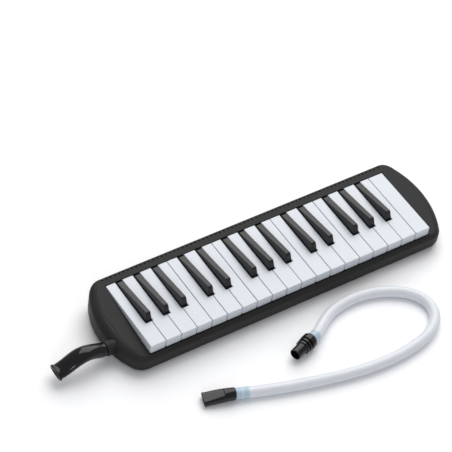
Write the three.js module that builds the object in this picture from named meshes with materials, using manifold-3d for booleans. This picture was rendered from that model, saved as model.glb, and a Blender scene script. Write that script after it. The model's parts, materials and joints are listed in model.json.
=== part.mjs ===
// Melodica with 32 piano keys, its short mouthpiece and its hose set.
// Millimetres, +Z up. The origin is the centre of the case's underside, X runs along the keyboard
// with the mouthpiece at -X, and the player sits at -Y.
import * as THREE from 'three';
import { mergeVertices } from 'three/addons/utils/BufferGeometryUtils.js';
import { ConvexGeometry } from 'three/addons/geometries/ConvexGeometry.js';
import { ParametricGeometry } from 'three/addons/geometries/ParametricGeometry.js';
import Module from 'manifold-3d';

const wasm = await Module();
wasm.setup();

// ---------------------------------------------------------------- driving dimensions
const GAP = 0.3;                // clearance left between pieces that touch

// keyboard
const WHITE_COUNT = 19;
const KEY_PITCH = 19.0;
const KEY_GAP = 0.5;            // between neighbouring white keys
const KEY_DEPTH = 92.7;         // playing surface, front face to rear band
const KEY_HEIGHT = 10.6;        // front face of a white key
const KEY_WALL = 1.8;
const KEY_TRAVEL_DEG = 4.0;
const NOTCH_WIDTH = 8.9;        // space between two white keys for a black one
const NOTCH_FRONT = 29.8;       // from the front face to the shoulder of the notch
const BLACK_WIDTH = 7.5;
const BLACK_TOP_WIDTH = 5.3;
const BLACK_FRONT = 31.2;       // from the white front face to the foot of a black key
const BLACK_LEAN = 3.4;         // how far the nose stands behind the foot
const BLACK_NOSE = 2.3;         // height of the slanted edge above the nose
const BLACK_RISE = 10.8;        // front of a black key above the white ones
const BLACK_REAR_RISE = 1.2;
const BLACK_REAR_GAP = 2.4;     // dark space between a black key and the rear band

// case
const CASE_HEIGHT = 34.0;       // underside to the playing surface
const END_REACH = 30.4;         // case beyond the keyboard at each end
const FRONT_RIM = 5.9;
const REAR_BAND = 11.2;
const END_RADIUS = 95.0;
const CORNER_RADIUS = 19.0;
const WALL = 2.5;
const EDGE_ROUND = 9.0;         // rounding of the lower case, up to the parting line
const OPENING_GAP = 1.0;        // between the case's opening and the keys
const VENT_PITCH = 5.3;
const VENT_LENGTH = 2.4;
const VENT_WIDTH = 1.3;
const VENT_INSET = 3.4;         // vent row from the rear edge of the case

// action: pivot, rail, springs and valves
const PIVOT_FROM_REAR = 8.7;    // pivot rod in front of the rear end of the playing surface
const PIVOT_HEIGHT = 20.4;
const ROD_RADIUS = 1.2;
const STEM_WIDTH = 5.0;
const STEM_BOTTOM = 17.6;
const STEM_REACH = 28.0;        // stem in front of the pivot
const TAIL_REACH = 14.0;        // stem behind the pivot
const PAD_WIDTH = 6.4;
const PAD_LENGTH = 7.4;
const PAD_THICKNESS = 1.6;
const RAIL_THICKNESS = 1.4;
const LUG_THICKNESS = 2.4;
const LUG_DEPTH = 7.0;
const SPRING_WIDTH = 2.6;
const SPRING_THICKNESS = 0.4;
const FELT_THICKNESS = 2.5;
const FELT_WIDTH = 8.0;
const FELT_FROM_FRONT = 6.0;

// wind chest
const CHEST_TOP = 15.4;
const CHEST_DEPTH = 36.0;
const CHEST_CLEARANCE = 2.9;    // chest to the inside of the rear wall
const CHEST_END = 5.0;          // chest beyond the keyboard, left end
const CHEST_END_RIGHT = 6.5;    // and right end, where the drain valve sits
const CHEST_WALL = 1.8;
const CHEST_LID = 2.0;
const COVER_CLEARANCE = 2.0;    // chest cover above the floor of the case
const COVER_THICKNESS = 1.4;
const GASKET_THICKNESS = 0.4;
const GASKET_WIDTH = 3.0;
const SLOT_WIDTH = 3.4;
const SLOT_LENGTH = 4.6;
const REED_PLATE = 1.0;
const REED_SLOT = 2.8;
const REED_WIDTH = 2.0;
const REED_THICKNESS = 0.3;
const REED_LONGEST = 26.0;
const REED_SHORTEST = 12.0;

// air way
const AIR_FROM_FRONT = 31.35;   // mouthpiece axis behind the front face of the keys
const SOCKET_SINK = 0.3;        // lowest line of the socket below the parting line
const SOCKET_WALL = 1.5;
const SOCKET_REACH = 5.4;       // socket beyond the end of the case's straight reach
const SOCKET_RIM = 2.5;         // flange beyond the outside of the socket
const FLANGE_THICKNESS = 2.0;
const SPIGOT_RADIUS = 6.6;
const SPIGOT_LENGTH = 13.5;
const SPIGOT_CLEARANCE = 0.4;   // between the spigot and the bore of the socket
const SPIGOT_WALL = 2.0;
const SEAL_DEPTH = 1.2;         // depth of the seal's groove in the spigot
const GROOVE_REACH = 8.0;       // back of the seal's groove, from the face of the socket
const SEAL_WIDTH = 2.0;
const DUCT_RADIUS = 4.2;
const DUCT_BORE = 2.9;

// drain valve
const DRAIN_FROM_FRONT = 70.0;
const DRAIN_HEIGHT = 10.1;
const DRAIN_TRAVEL = 2.5;
const BUTTON_RADIUS = 5.0;
const BUTTON_PROUD = 2.2;
const BUTTON_FLANGE = 5.9;
const BUTTON_FLANGE_THICKNESS = 1.5;
const BUTTON_ROOM = 7.6;        // from the inside of the case's wall to the back of the button
const DRAIN_STEM = 1.5;
const DRAIN_SEAL_RADIUS = 3.0;
const DRAIN_SEAL_THICKNESS = 1.8;
const DRAIN_HOLE = 2.2;
const SPRING_COIL = 3.0;
const SPRING_WIRE = 0.45;

// fasteners
const SCREW_RADIUS = 1.4;
const SCREW_HEAD = 2.9;
const SCREW_HEAD_HEIGHT = 1.8;
const BOSS_RADIUS = 3.8;
const END_SCREW_INSET = 15.0;   // end screws beyond the keyboard
const END_SCREW_SPREAD = 34.0;  // end screws before and behind the middle of the case
const CHEST_SCREW_X = 92.0;
const EAR_REACH = 2.6;          // chest screws in front of the wind chest

// hose set
const HOSE_RADIUS = 6.2;
const ADAPTER_LENGTH = 30.0;
const ADAPTER_RIM = 2.2;        // widest collar beyond the spigot
const PLUG_SPIGOT = 12.5;
const HOSE_MOUTH_LENGTH = 34.0;
const HOSE_MOUTH_REST = 4.0;    // the lips of the hose mouthpiece lie just above the table
const MOUTH_HALF_WIDTH = 8.3;
const MOUTH_HALF_HEIGHT = 3.7;

// ---------------------------------------------------------------- sizes that follow
const KEYBOARD = WHITE_COUNT * KEY_PITCH;
const CASE_LENGTH = KEYBOARD + 2 * END_REACH;
const CASE_DEPTH = FRONT_RIM + KEY_DEPTH + REAR_BAND;
const FRONT_Y = -CASE_DEPTH / 2 + FRONT_RIM;         // front faces of the white keys
const REAR_Y = FRONT_Y + KEY_DEPTH;                  // rear end of the playing surface
const KEY_BOTTOM = CASE_HEIGHT - KEY_HEIGHT;
const TOP_TILT = Math.atan(KEY_HEIGHT / KEY_DEPTH);  // the case top falls to the foot of the keys
const PIVOT_Y = REAR_Y - PIVOT_FROM_REAR;
const TRAVEL = THREE.MathUtils.degToRad(KEY_TRAVEL_DEG);
const CHEST_REAR = CASE_DEPTH / 2 - WALL - CHEST_CLEARANCE;
const CHEST_FRONT = CHEST_REAR - CHEST_DEPTH;
const CHEST_LEFT = -KEYBOARD / 2 - CHEST_END;
const CHEST_RIGHT = KEYBOARD / 2 + CHEST_END_RIGHT;
const COVER_BOTTOM = WALL + COVER_CLEARANCE;
const CHEST_BOTTOM = COVER_BOTTOM + COVER_THICKNESS + GASKET_THICKNESS + 2 * GAP;
const LID_UNDERSIDE = CHEST_TOP - CHEST_LID;
const PAD_BOTTOM = CHEST_TOP + GAP;
const PAD_Y = PIVOT_Y + TAIL_REACH - PAD_LENGTH / 2;
const RAIL_TOP = CHEST_TOP + GAP + RAIL_THICKNESS;
const AIR_Y = FRONT_Y + AIR_FROM_FRONT;
const SOCKET_FACE = -KEYBOARD / 2 - END_REACH - SOCKET_REACH;
const SOCKET_BORE = SPIGOT_RADIUS + SPIGOT_CLEARANCE;
const SOCKET_RADIUS = SOCKET_BORE + SOCKET_WALL;
const SOCKET_FLANGE = SOCKET_RADIUS + SOCKET_RIM;
const AIR_HEIGHT = EDGE_ROUND + SOCKET_RADIUS - SOCKET_SINK;
const SPIGOT_BORE = SPIGOT_RADIUS - SPIGOT_WALL;
const SEAL_GROOVE = SPIGOT_RADIUS - SEAL_DEPTH;
const ADAPTER_FLANGE = SPIGOT_RADIUS + ADAPTER_RIM;
const DRAIN_Y = FRONT_Y + DRAIN_FROM_FRONT;
const BUTTON_BACK = CASE_LENGTH / 2 - WALL - BUTTON_ROOM;
const SEAL_FACE = CHEST_RIGHT - CHEST_WALL - GAP;
const FAR = 300;                                     // reach of a cutting block past the case

// ---------------------------------------------------------------- materials
function finish(color, roughness, metalness = 0) {
  return new THREE.MeshStandardMaterial({ color, roughness, metalness });
}
const charcoal = finish(0x3a3a3b, 0.62);
const whitePlastic = finish(0xdfe2e7, 0.35);
const blackPlastic = finish(0x26262a, 0.4);
const glossBlack = finish(0x0e0e12, 0.12);
const milkyHose = finish(0xd5dbe6, 0.3);
const innerPlastic = finish(0x8f9296, 0.55);
const rubber = finish(0x1a1a1a, 0.8);
const felt = finish(0x8a2f2f, 0.95);
const brass = finish(0xb08d4a, 0.35, 1);
const steel = finish(0xb9bcc0, 0.3, 1);

// ---------------------------------------------------------------- solids
// A closed geometry as a solid that can be joined and cut.
function solid(geometry) {
  const bare = geometry.clone();
  bare.deleteAttribute('normal');
  bare.deleteAttribute('uv');
  const merged = mergeVertices(bare, 1e-4);
  const index = merged.index.array;
  const triangles = [];
  for (let i = 0; i < index.length; i += 3) {
    const [a, b, c] = [index[i], index[i + 1], index[i + 2]];
    if (a !== b && b !== c && c !== a) triangles.push(a, b, c);
  }
  return new wasm.Manifold(new wasm.Mesh({
    numProp: 3,
    vertProperties: new Float32Array(merged.attributes.position.array),
    triVerts: new Uint32Array(triangles),
  }));
}

// A solid back as a geometry with flat faces.
function toGeometry(body) {
  const mesh = body.getMesh();
  const geometry = new THREE.BufferGeometry();
  geometry.setAttribute('position', new THREE.BufferAttribute(mesh.vertProperties, 3));
  geometry.setIndex(new THREE.BufferAttribute(mesh.triVerts, 1));
  const flat = geometry.toNonIndexed();
  flat.computeVertexNormals();
  return flat;
}

const join = (first, ...rest) => rest.reduce((sum, next) => sum.add(next), first);
const cut = (first, ...rest) => rest.reduce((left, next) => left.subtract(next), first);

function block([x0, x1], [y0, y1], [z0, z1]) {
  const geometry = new THREE.BoxGeometry(x1 - x0, y1 - y0, z1 - z0);
  return solid(geometry.translate((x0 + x1) / 2, (y0 + y1) / 2, (z0 + z1) / 2));
}

// A round bar along X from x0 to x1 about the line (y, z).
function barX([x0, x1], y, z, radius, sides = 16) {
  const geometry = new THREE.CylinderGeometry(radius, radius, x1 - x0, sides);
  return solid(geometry.rotateZ(Math.PI / 2).translate((x0 + x1) / 2, y, z));
}

// A round bar along Z from z0 to z1 about the line (x, y).
function barZ(x, y, [z0, z1], radius, sides = 16) {
  const geometry = new THREE.CylinderGeometry(radius, radius, z1 - z0, sides);
  return solid(geometry.rotateX(Math.PI / 2).translate(x, y, (z0 + z1) / 2));
}

// An outline in X and Y raised from z0 to z1.
function raise(shape, z0, z1) {
  const settings = { depth: z1 - z0, bevelEnabled: false, curveSegments: 3 };
  return solid(new THREE.ExtrudeGeometry(shape, settings).translate(0, 0, z0));
}

// A side profile in Y and Z given a width along X, centred on x.
function sidePlate(profile, x, width, hole) {
  const shape = new THREE.Shape(profile.map(([y, z]) => new THREE.Vector2(y, z)));
  if (hole) {
    const path = new THREE.Path();
    path.absarc(hole.y, hole.z, hole.radius, 0, 2 * Math.PI, true);
    shape.holes.push(path);
  }
  const settings = { depth: width, bevelEnabled: false, curveSegments: 4 };
  const geometry = new THREE.ExtrudeGeometry(shape, settings);
  const turn = new THREE.Matrix4().makeBasis(
    new THREE.Vector3(0, 1, 0), new THREE.Vector3(0, 0, 1), new THREE.Vector3(1, 0, 0));
  return solid(geometry.applyMatrix4(turn).translate(x - width / 2, 0, 0));
}

// A hollow moulding swept along a curve. Each station is [distance, half width, half height];
// the outside runs forward and the bore runs back, so the wall closes on itself.
function sweptShell(curve, outside, bore, across, sides) {
  const stations = [...outside, ...[...bore].reverse()];
  const length = curve.getLength();
  const place = (u, v, target) => {
    const [distance, halfWidth, halfHeight] = stations[Math.round(v * stations.length) % stations.length];
    const t = THREE.MathUtils.clamp(distance / length, 0, 1);
    const along = curve.getTangentAt(t);
    const up = new THREE.Vector3().crossVectors(along, across).normalize();
    const angle = (Math.round(u * sides) % sides) * 2 * Math.PI / sides;
    target.copy(curve.getPointAt(t));
    target.addScaledVector(across, halfWidth * Math.cos(angle));
    target.addScaledVector(up, halfHeight * Math.sin(angle));
  };
  return solid(new ParametricGeometry(place, sides, stations.length));
}

// ---------------------------------------------------------------- outlines and planes
// Plan of the case: straight front and rear, bulging ends and round corners.
function caseOutline(inset) {
  const halfDepth = CASE_DEPTH / 2 - inset;
  const endRadius = END_RADIUS - inset;
  const corner = CORNER_RADIUS - inset;
  const endCentre = CASE_LENGTH / 2 - END_RADIUS;
  const cornerY = halfDepth - corner;
  const cornerX = endCentre + Math.sqrt((endRadius - corner) ** 2 - cornerY ** 2);
  const swing = Math.atan2(cornerY, cornerX - endCentre);
  const shape = new THREE.Shape();
  shape.absarc(endCentre, 0, endRadius, -swing, swing, false);
  shape.absarc(cornerX, cornerY, corner, swing, Math.PI / 2, false);
  shape.absarc(-cornerX, cornerY, corner, Math.PI / 2, Math.PI - swing, false);
  shape.absarc(-endCentre, 0, endRadius, Math.PI - swing, Math.PI + swing, false);
  shape.absarc(-cornerX, -cornerY, corner, Math.PI + swing, 1.5 * Math.PI, false);
  shape.absarc(cornerX, -cornerY, corner, -Math.PI / 2, -swing, false);
  return shape;
}

// Everything above the sloping top of the case, lowered by some depth.
function aboveTop(depth) {
  const slab = new THREE.BoxGeometry(2 * FAR, 2 * FAR, FAR).translate(0, 0, FAR / 2);
  return solid(slab.rotateX(TOP_TILT).translate(0, REAR_Y, CASE_HEIGHT - depth / Math.cos(TOP_TILT)));
}

// Outside of the lower case, or of its hollow: the plan with its lower edge rounded.
function roundedTray(inset, floor) {
  const radius = EDGE_ROUND - inset;
  const settings = {
    depth: CASE_HEIGHT,
    bevelThickness: radius,
    bevelSize: radius,
    bevelOffset: -radius,
    bevelSegments: 2,
    curveSegments: 3,
  };
  const whole = new THREE.ExtrudeGeometry(caseOutline(inset), settings).translate(0, 0, radius + floor);
  return solid(whole);
}

// ---------------------------------------------------------------- keyboard layout
// Which gaps between white keys hold a black key, and how far it sits off the gap's middle.
// The lowest key is an F.
const OCTAVE = ['F', 'G', 'A', 'B', 'C', 'D', 'E'];
const BLACK_SHIFT = { F: -0.15, G: 0, A: 0.17, C: -0.09, D: 0.1 };
const blackCentres = [];
for (let i = 0; i < WHITE_COUNT - 1; i += 1) {
  const shift = BLACK_SHIFT[OCTAVE[i % OCTAVE.length]];
  if (shift !== undefined) blackCentres.push(-KEYBOARD / 2 + (i + 1 + shift) * KEY_PITCH);
}
const whiteKeys = [];
for (let i = 0; i < WHITE_COUNT; i += 1) {
  const left = -KEYBOARD / 2 + i * KEY_PITCH + KEY_GAP / 2;
  const right = left + KEY_PITCH - KEY_GAP;
  const before = blackCentres.find((x) => x > left - KEY_PITCH / 2 && x < (left + right) / 2);
  const after = blackCentres.find((x) => x < right + KEY_PITCH / 2 && x > (left + right) / 2);
  const rearLeft = before === undefined ? left : before + NOTCH_WIDTH / 2;
  const rearRight = after === undefined ? right : after - NOTCH_WIDTH / 2;
  whiteKeys.push({ left, right, rearLeft, rearRight, centre: (rearLeft + rearRight) / 2 });
}
const stemCentres = [...whiteKeys.map((key) => key.centre), ...blackCentres].sort((a, b) => a - b);

// ---------------------------------------------------------------- keys
// Web under a key: it holds the pivot hole, meets the spring in front and carries the valve pad.
function keyStem(x, top) {
  const profile = [
    [PIVOT_Y - STEM_REACH, KEY_BOTTOM],
    [PIVOT_Y - 7, KEY_BOTTOM],
    [PIVOT_Y - 4, STEM_BOTTOM],
    [PIVOT_Y + TAIL_REACH, STEM_BOTTOM],
    [PIVOT_Y + TAIL_REACH, STEM_BOTTOM + 2.4],
    [REAR_Y - KEY_WALL, KEY_BOTTOM + 1],
    [REAR_Y - KEY_WALL, top],
    [PIVOT_Y - STEM_REACH, top],
  ];
  const hole = { y: PIVOT_Y, z: PIVOT_HEIGHT, radius: ROD_RADIUS + GAP };
  const web = sidePlate(profile, x, STEM_WIDTH, hole);
  const pad = block(
    [x - PAD_WIDTH / 2, x + PAD_WIDTH / 2],
    [PAD_Y - PAD_LENGTH / 2, PAD_Y + PAD_LENGTH / 2],
    [PAD_BOTTOM, PAD_BOTTOM + PAD_THICKNESS + 0.6]);
  return join(web, pad);
}

function whiteKey({ left, right, rearLeft, rearRight, centre }) {
  const shoulder = FRONT_Y + NOTCH_FRONT;
  const plan = new THREE.Shape();
  plan.moveTo(left, FRONT_Y);
  plan.lineTo(right, FRONT_Y);
  plan.lineTo(right, shoulder);
  plan.lineTo(rearRight, shoulder);
  plan.lineTo(rearRight, REAR_Y);
  plan.lineTo(rearLeft, REAR_Y);
  plan.lineTo(rearLeft, shoulder);
  plan.lineTo(left, shoulder);
  const hollowTop = CASE_HEIGHT - KEY_WALL;
  const frontPocket = block(
    [left + KEY_WALL, right - KEY_WALL],
    [FRONT_Y + KEY_WALL, shoulder - KEY_WALL],
    [KEY_BOTTOM - 1, hollowTop]);
  const rearPocket = block(
    [rearLeft + KEY_WALL, rearRight - KEY_WALL],
    [shoulder - KEY_WALL - 1, REAR_Y - KEY_WALL],
    [KEY_BOTTOM - 1, hollowTop]);
  const body = cut(raise(plan, KEY_BOTTOM, CASE_HEIGHT), frontPocket, rearPocket);
  return join(body, keyStem(centre, hollowTop + KEY_WALL / 2));
}

function blackKey(x) {
  const footY = FRONT_Y + BLACK_FRONT;
  const rearY = REAR_Y - BLACK_REAR_GAP;
  const noseZ = CASE_HEIGHT + BLACK_RISE - BLACK_NOSE;
  // y, z and width of each cross line of the wedge
  const lines = [
    [footY, KEY_BOTTOM, BLACK_WIDTH],
    [footY, CASE_HEIGHT, BLACK_WIDTH],
    [footY + BLACK_LEAN * 0.6, noseZ, BLACK_TOP_WIDTH + 0.6],
    [footY + BLACK_LEAN, CASE_HEIGHT + BLACK_RISE, BLACK_TOP_WIDTH],
    [rearY, CASE_HEIGHT + BLACK_REAR_RISE, BLACK_WIDTH - 0.2],
    [rearY, CASE_HEIGHT, BLACK_WIDTH],
    [rearY, KEY_BOTTOM, BLACK_WIDTH],
  ];
  const corners = lines.flatMap(([y, z, width]) => [
    new THREE.Vector3(x - width / 2, y, z),
    new THREE.Vector3(x + width / 2, y, z),
  ]);
  const hollow = block(
    [x - BLACK_WIDTH / 2 + KEY_WALL, x + BLACK_WIDTH / 2 - KEY_WALL],
    [footY + KEY_WALL, PIVOT_Y - STEM_REACH - KEY_WALL],
    [KEY_BOTTOM - 1, CASE_HEIGHT - KEY_WALL]);
  const body = cut(solid(new ConvexGeometry(corners)), hollow);
  return join(body, keyStem(x, CASE_HEIGHT - KEY_WALL));
}

// ---------------------------------------------------------------- case
const screwPlaces = [];
for (const side of [-1, 1]) {
  for (const row of [-1, 1]) {
    const x = side * (KEYBOARD / 2 + END_SCREW_INSET);
    screwPlaces.push({ x, y: row * END_SCREW_SPREAD, top: CASE_HEIGHT / 2 + 2 });
  }
}
for (const side of [-1, 1]) {
  screwPlaces.push({ x: side * CHEST_SCREW_X, y: CHEST_FRONT - EAR_REACH, top: CHEST_TOP - 2 });
}
const endScrews = screwPlaces.slice(0, 4);
const chestScrews = screwPlaces.slice(4);
const BOSS_SEAM = EDGE_ROUND + GAP;

const socketHole = () => barX([-FAR, -KEYBOARD / 2 - 5], AIR_Y, AIR_HEIGHT, SOCKET_RADIUS + GAP, 20);
const buttonHole = () => barX([CHEST_RIGHT + 5, FAR], DRAIN_Y, DRAIN_HEIGHT, BUTTON_RADIUS + GAP, 20);

function upperCase() {
  const outside = cut(raise(caseOutline(0), EDGE_ROUND + GAP, CASE_HEIGHT + 5), aboveTop(0));
  const inside = cut(raise(caseOutline(WALL), EDGE_ROUND - 1, CASE_HEIGHT + 5), aboveTop(WALL));
  const opening = block(
    [-KEYBOARD / 2 - OPENING_GAP / 2, KEYBOARD / 2 + OPENING_GAP / 2],
    [FRONT_Y - OPENING_GAP, REAR_Y + OPENING_GAP / 2],
    [EDGE_ROUND - 2, CASE_HEIGHT + 10]);
  let shell = cut(outside, inside);
  for (const { x, y } of endScrews) {
    const boss = cut(barZ(x, y, [BOSS_SEAM, CASE_HEIGHT], BOSS_RADIUS), aboveTop(WALL / 2));
    shell = join(shell, boss);
  }
  for (const { x, y, top } of endScrews) {
    shell = cut(shell, barZ(x, y, [0, top + 1], SCREW_RADIUS + GAP, 10));
  }
  const ventRow = CASE_DEPTH / 2 - VENT_INSET;
  const ventCount = Math.floor(KEYBOARD / VENT_PITCH);
  const slots = [];
  for (let i = 0; i <= ventCount; i += 1) {
    const x = (i - ventCount / 2) * VENT_PITCH;
    slots.push(block(
      [x - VENT_LENGTH / 2, x + VENT_LENGTH / 2],
      [ventRow - VENT_WIDTH / 2, ventRow + VENT_WIDTH / 2],
      [CASE_HEIGHT - 2 * WALL, CASE_HEIGHT + 5]));
  }
  return cut(shell, opening, join(...slots), socketHole(), buttonHole());
}

function lowerCase() {
  const keepBelow = block([-FAR, FAR], [-FAR, FAR], [EDGE_ROUND, CASE_HEIGHT * 3]);
  let shell = cut(roundedTray(0, 0), roundedTray(WALL, WALL), keepBelow);
  const feltY = FRONT_Y + FELT_FROM_FRONT + FELT_WIDTH / 2;
  const ledge = block(
    [-KEYBOARD / 2, KEYBOARD / 2],
    [feltY - 2, feltY + 2],
    [WALL - 0.5, feltBottom() - GAP]);
  const ribs = [CHEST_FRONT + 6, CHEST_REAR - 10].map((y) => block(
    [CHEST_LEFT + 8, CHEST_RIGHT - 8], [y - 1, y + 1], [WALL - 0.5, COVER_BOTTOM - GAP]));
  shell = join(shell, ledge, ...ribs);
  for (const { x, y } of endScrews) {
    shell = join(shell, barZ(x, y, [WALL - 0.5, EDGE_ROUND], BOSS_RADIUS));
  }
  const chestRoom = block([-FAR, FAR], [CHEST_FRONT - GAP, FAR], [COVER_BOTTOM - GAP, CHEST_TOP]);
  for (const { x, y } of chestScrews) {
    const post = barZ(x, y, [WALL - 0.5, CHEST_BOTTOM - GAP], BOSS_RADIUS);
    shell = join(shell, cut(post, chestRoom));
  }
  for (const { x, y } of screwPlaces) {
    const shank = barZ(x, y, [-1, CHEST_TOP], SCREW_RADIUS + GAP, 10);
    const head = barZ(x, y, [-1, SCREW_HEAD_HEIGHT + 2 * GAP], SCREW_HEAD + GAP, 16);
    shell = cut(shell, shank, head);
  }
  const drip = barZ(CHEST_RIGHT + 6, DRAIN_Y, [-1, WALL + 1], 2, 12);
  return cut(shell, drip, socketHole(), buttonHole());
}

// Top of the felt: where the keys' undersides come to rest when they are fully down.
function feltBottom() {
  const arm = PIVOT_Y - (FRONT_Y + FELT_FROM_FRONT);
  const fall = arm * Math.sin(TRAVEL) + (KEY_BOTTOM - PIVOT_HEIGHT) * (1 - Math.cos(TRAVEL));
  return KEY_BOTTOM - fall - GAP - FELT_THICKNESS;
}

function stopFelt() {
  const y0 = FRONT_Y + FELT_FROM_FRONT;
  const z0 = feltBottom();
  return block([-KEYBOARD / 2, KEYBOARD / 2], [y0, y0 + FELT_WIDTH], [z0, z0 + FELT_THICKNESS]);
}

function caseScrew({ x, y, top }) {
  const head = barZ(x, y, [GAP, GAP + SCREW_HEAD_HEIGHT], SCREW_HEAD, 12);
  const shank = barZ(x, y, [GAP, top], SCREW_RADIUS, 8);
  const drive = join(
    block([x - 1.6, x + 1.6], [y - 0.35, y + 0.35], [-1, GAP + 1]),
    block([x - 0.35, x + 0.35], [y - 1.6, y + 1.6], [-1, GAP + 1]));
  return cut(join(head, shank), drive);
}

// ---------------------------------------------------------------- action
// Lugs of the rail stand between the stems, at both ends and in every fourth gap.
function keyRail() {
  const y0 = PIVOT_Y - 20;
  let rail = block(
    [-KEYBOARD / 2 + 1, KEYBOARD / 2 - 1],
    [y0, PIVOT_Y + LUG_DEPTH / 2],
    [CHEST_TOP + GAP, RAIL_TOP]);
  const gaps = [stemCentres[0] - KEY_PITCH / 4];
  for (let i = 3; i < stemCentres.length - 2; i += 4) {
    gaps.push((stemCentres[i] + stemCentres[i + 1]) / 2);
  }
  gaps.push(stemCentres[stemCentres.length - 1] + KEY_PITCH / 4);
  for (const x of gaps) {
    rail = join(rail, block(
      [x - LUG_THICKNESS / 2, x + LUG_THICKNESS / 2],
      [PIVOT_Y - LUG_DEPTH / 2, PIVOT_Y + LUG_DEPTH / 2],
      [RAIL_TOP - 0.4, KEY_BOTTOM - 2 * GAP]));
  }
  return cut(rail, barX([-FAR, FAR], PIVOT_Y, PIVOT_HEIGHT, ROD_RADIUS + GAP, 12));
}

function pivotRod() {
  return barX([-KEYBOARD / 2 + 2, KEYBOARD / 2 - 2], PIVOT_Y, PIVOT_HEIGHT, ROD_RADIUS, 12);
}

// One strip of spring steel with a finger for each key; every finger rises to meet its stem.
function springComb() {
  const rootY = PIVOT_Y - 14;
  const tipY = PIVOT_Y - STEM_REACH + 2;
  const z0 = RAIL_TOP + GAP;
  const z1 = KEY_BOTTOM - GAP;
  let comb = block(
    [stemCentres[0] - 4, stemCentres[stemCentres.length - 1] + 4],
    [rootY - 2, rootY + 4],
    [z0, z0 + SPRING_THICKNESS]);
  const finger = [
    [rootY, z0],
    [rootY, z0 + SPRING_THICKNESS],
    [tipY + 2, z1],
    [tipY, z1],
    [tipY, z1 - SPRING_THICKNESS],
    [rootY - 1.5, z0],
  ];
  for (const x of stemCentres) comb = join(comb, sidePlate(finger, x, SPRING_WIDTH));
  return comb;
}

// ---------------------------------------------------------------- wind chest
function windChest() {
  const tray = block([CHEST_LEFT, CHEST_RIGHT], [CHEST_FRONT, CHEST_REAR], [CHEST_BOTTOM, CHEST_TOP]);
  const hollow = block(
    [CHEST_LEFT + CHEST_WALL, CHEST_RIGHT - CHEST_WALL],
    [CHEST_FRONT + CHEST_WALL, CHEST_REAR - CHEST_WALL],
    [CHEST_BOTTOM - 1, LID_UNDERSIDE]);
  const slots = stemCentres.map((x) => block(
    [x - SLOT_WIDTH / 2, x + SLOT_WIDTH / 2],
    [PAD_Y - SLOT_LENGTH / 2, PAD_Y + SLOT_LENGTH / 2],
    [LID_UNDERSIDE - 1, CHEST_TOP + 1]));
  const ears = chestScrews.map(({ x, y }) => barZ(x, y, [CHEST_BOTTOM, CHEST_TOP], BOSS_RADIUS));
  const pilots = chestScrews.map(({ x, y, top }) => barZ(x, y, [0, top + 1], SCREW_RADIUS + GAP, 10));
  const body = cut(join(tray, ...ears), hollow, join(...slots), join(...pilots));
  const inlet = barX([CHEST_LEFT - 1, CHEST_LEFT + 5], ductEndY(), ductEndZ(), DUCT_BORE, 12);
  const drain = barX([CHEST_RIGHT - 5, CHEST_RIGHT + 1], DRAIN_Y, DRAIN_HEIGHT, DRAIN_HOLE, 12);
  return cut(body, inlet, drain);
}

function chestCover() {
  const z = [COVER_BOTTOM, COVER_BOTTOM + COVER_THICKNESS];
  return block([CHEST_LEFT, CHEST_RIGHT], [CHEST_FRONT, CHEST_REAR], z);
}

function chestGasket() {
  const z = [CHEST_BOTTOM - GAP - GASKET_THICKNESS, CHEST_BOTTOM - GAP];
  const frame = block([CHEST_LEFT, CHEST_RIGHT], [CHEST_FRONT, CHEST_REAR], z);
  return cut(frame, block(
    [CHEST_LEFT + GASKET_WIDTH, CHEST_RIGHT - GASKET_WIDTH],
    [CHEST_FRONT + GASKET_WIDTH, CHEST_REAR - GASKET_WIDTH],
    [z[0] - 1, z[1] + 1]));
}

// A brass plate under the lid of the chest, with a slot and a tongue for each of its notes.
function reedPlate(first, last) {
  const top = LID_UNDERSIDE - GAP;
  const rear = CHEST_REAR - CHEST_WALL - 1;
  const xs = stemCentres.slice(first, last);
  let plate = block(
    [xs[0] - 4, xs[xs.length - 1] + 4],
    [rear - REED_LONGEST - 4, rear],
    [top - REED_PLATE, top]);
  for (const [i, x] of xs.entries()) {
    const share = (first + i) / (stemCentres.length - 1);
    const length = THREE.MathUtils.lerp(REED_LONGEST, REED_SHORTEST, share);
    const slotY = [rear - 2 - length, rear - 2];
    const slot = block([x - REED_SLOT / 2, x + REED_SLOT / 2], slotY, [top - REED_PLATE - 1, top + 1]);
    const tongue = block(
      [x - REED_WIDTH / 2, x + REED_WIDTH / 2],
      [slotY[0] - 1.5, slotY[1] - GAP],
      [top - REED_PLATE - REED_THICKNESS + 0.1, top - REED_PLATE + 0.1]);
    plate = join(cut(plate, slot), tongue);
  }
  return plate;
}

// ---------------------------------------------------------------- air way
const socketInnerEnd = () => -CASE_LENGTH / 2 + WALL + GAP + 4.8;
const ductEndY = () => CHEST_FRONT + 12;
const ductEndZ = () => (CHEST_BOTTOM + LID_UNDERSIDE) / 2;

function mouthpieceSocket() {
  const inner = socketInnerEnd() + FLANGE_THICKNESS;
  const sleeve = barX([SOCKET_FACE, inner], AIR_Y, AIR_HEIGHT, SOCKET_RADIUS, 20);
  const disc = barX([inner - FLANGE_THICKNESS, inner], AIR_Y, AIR_HEIGHT, SOCKET_FLANGE, 20);
  const flange = cut(disc, aboveTop(WALL + GAP));
  const boreEnd = SOCKET_FACE + SPIGOT_LENGTH + 2 * GAP;
  const bore = barX([SOCKET_FACE - 1, boreEnd], AIR_Y, AIR_HEIGHT, SOCKET_BORE, 20);
  const throat = barX([SOCKET_FACE, inner + 1], AIR_Y, AIR_HEIGHT, SPIGOT_BORE, 16);
  return cut(join(sleeve, flange), bore, throat);
}

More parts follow.
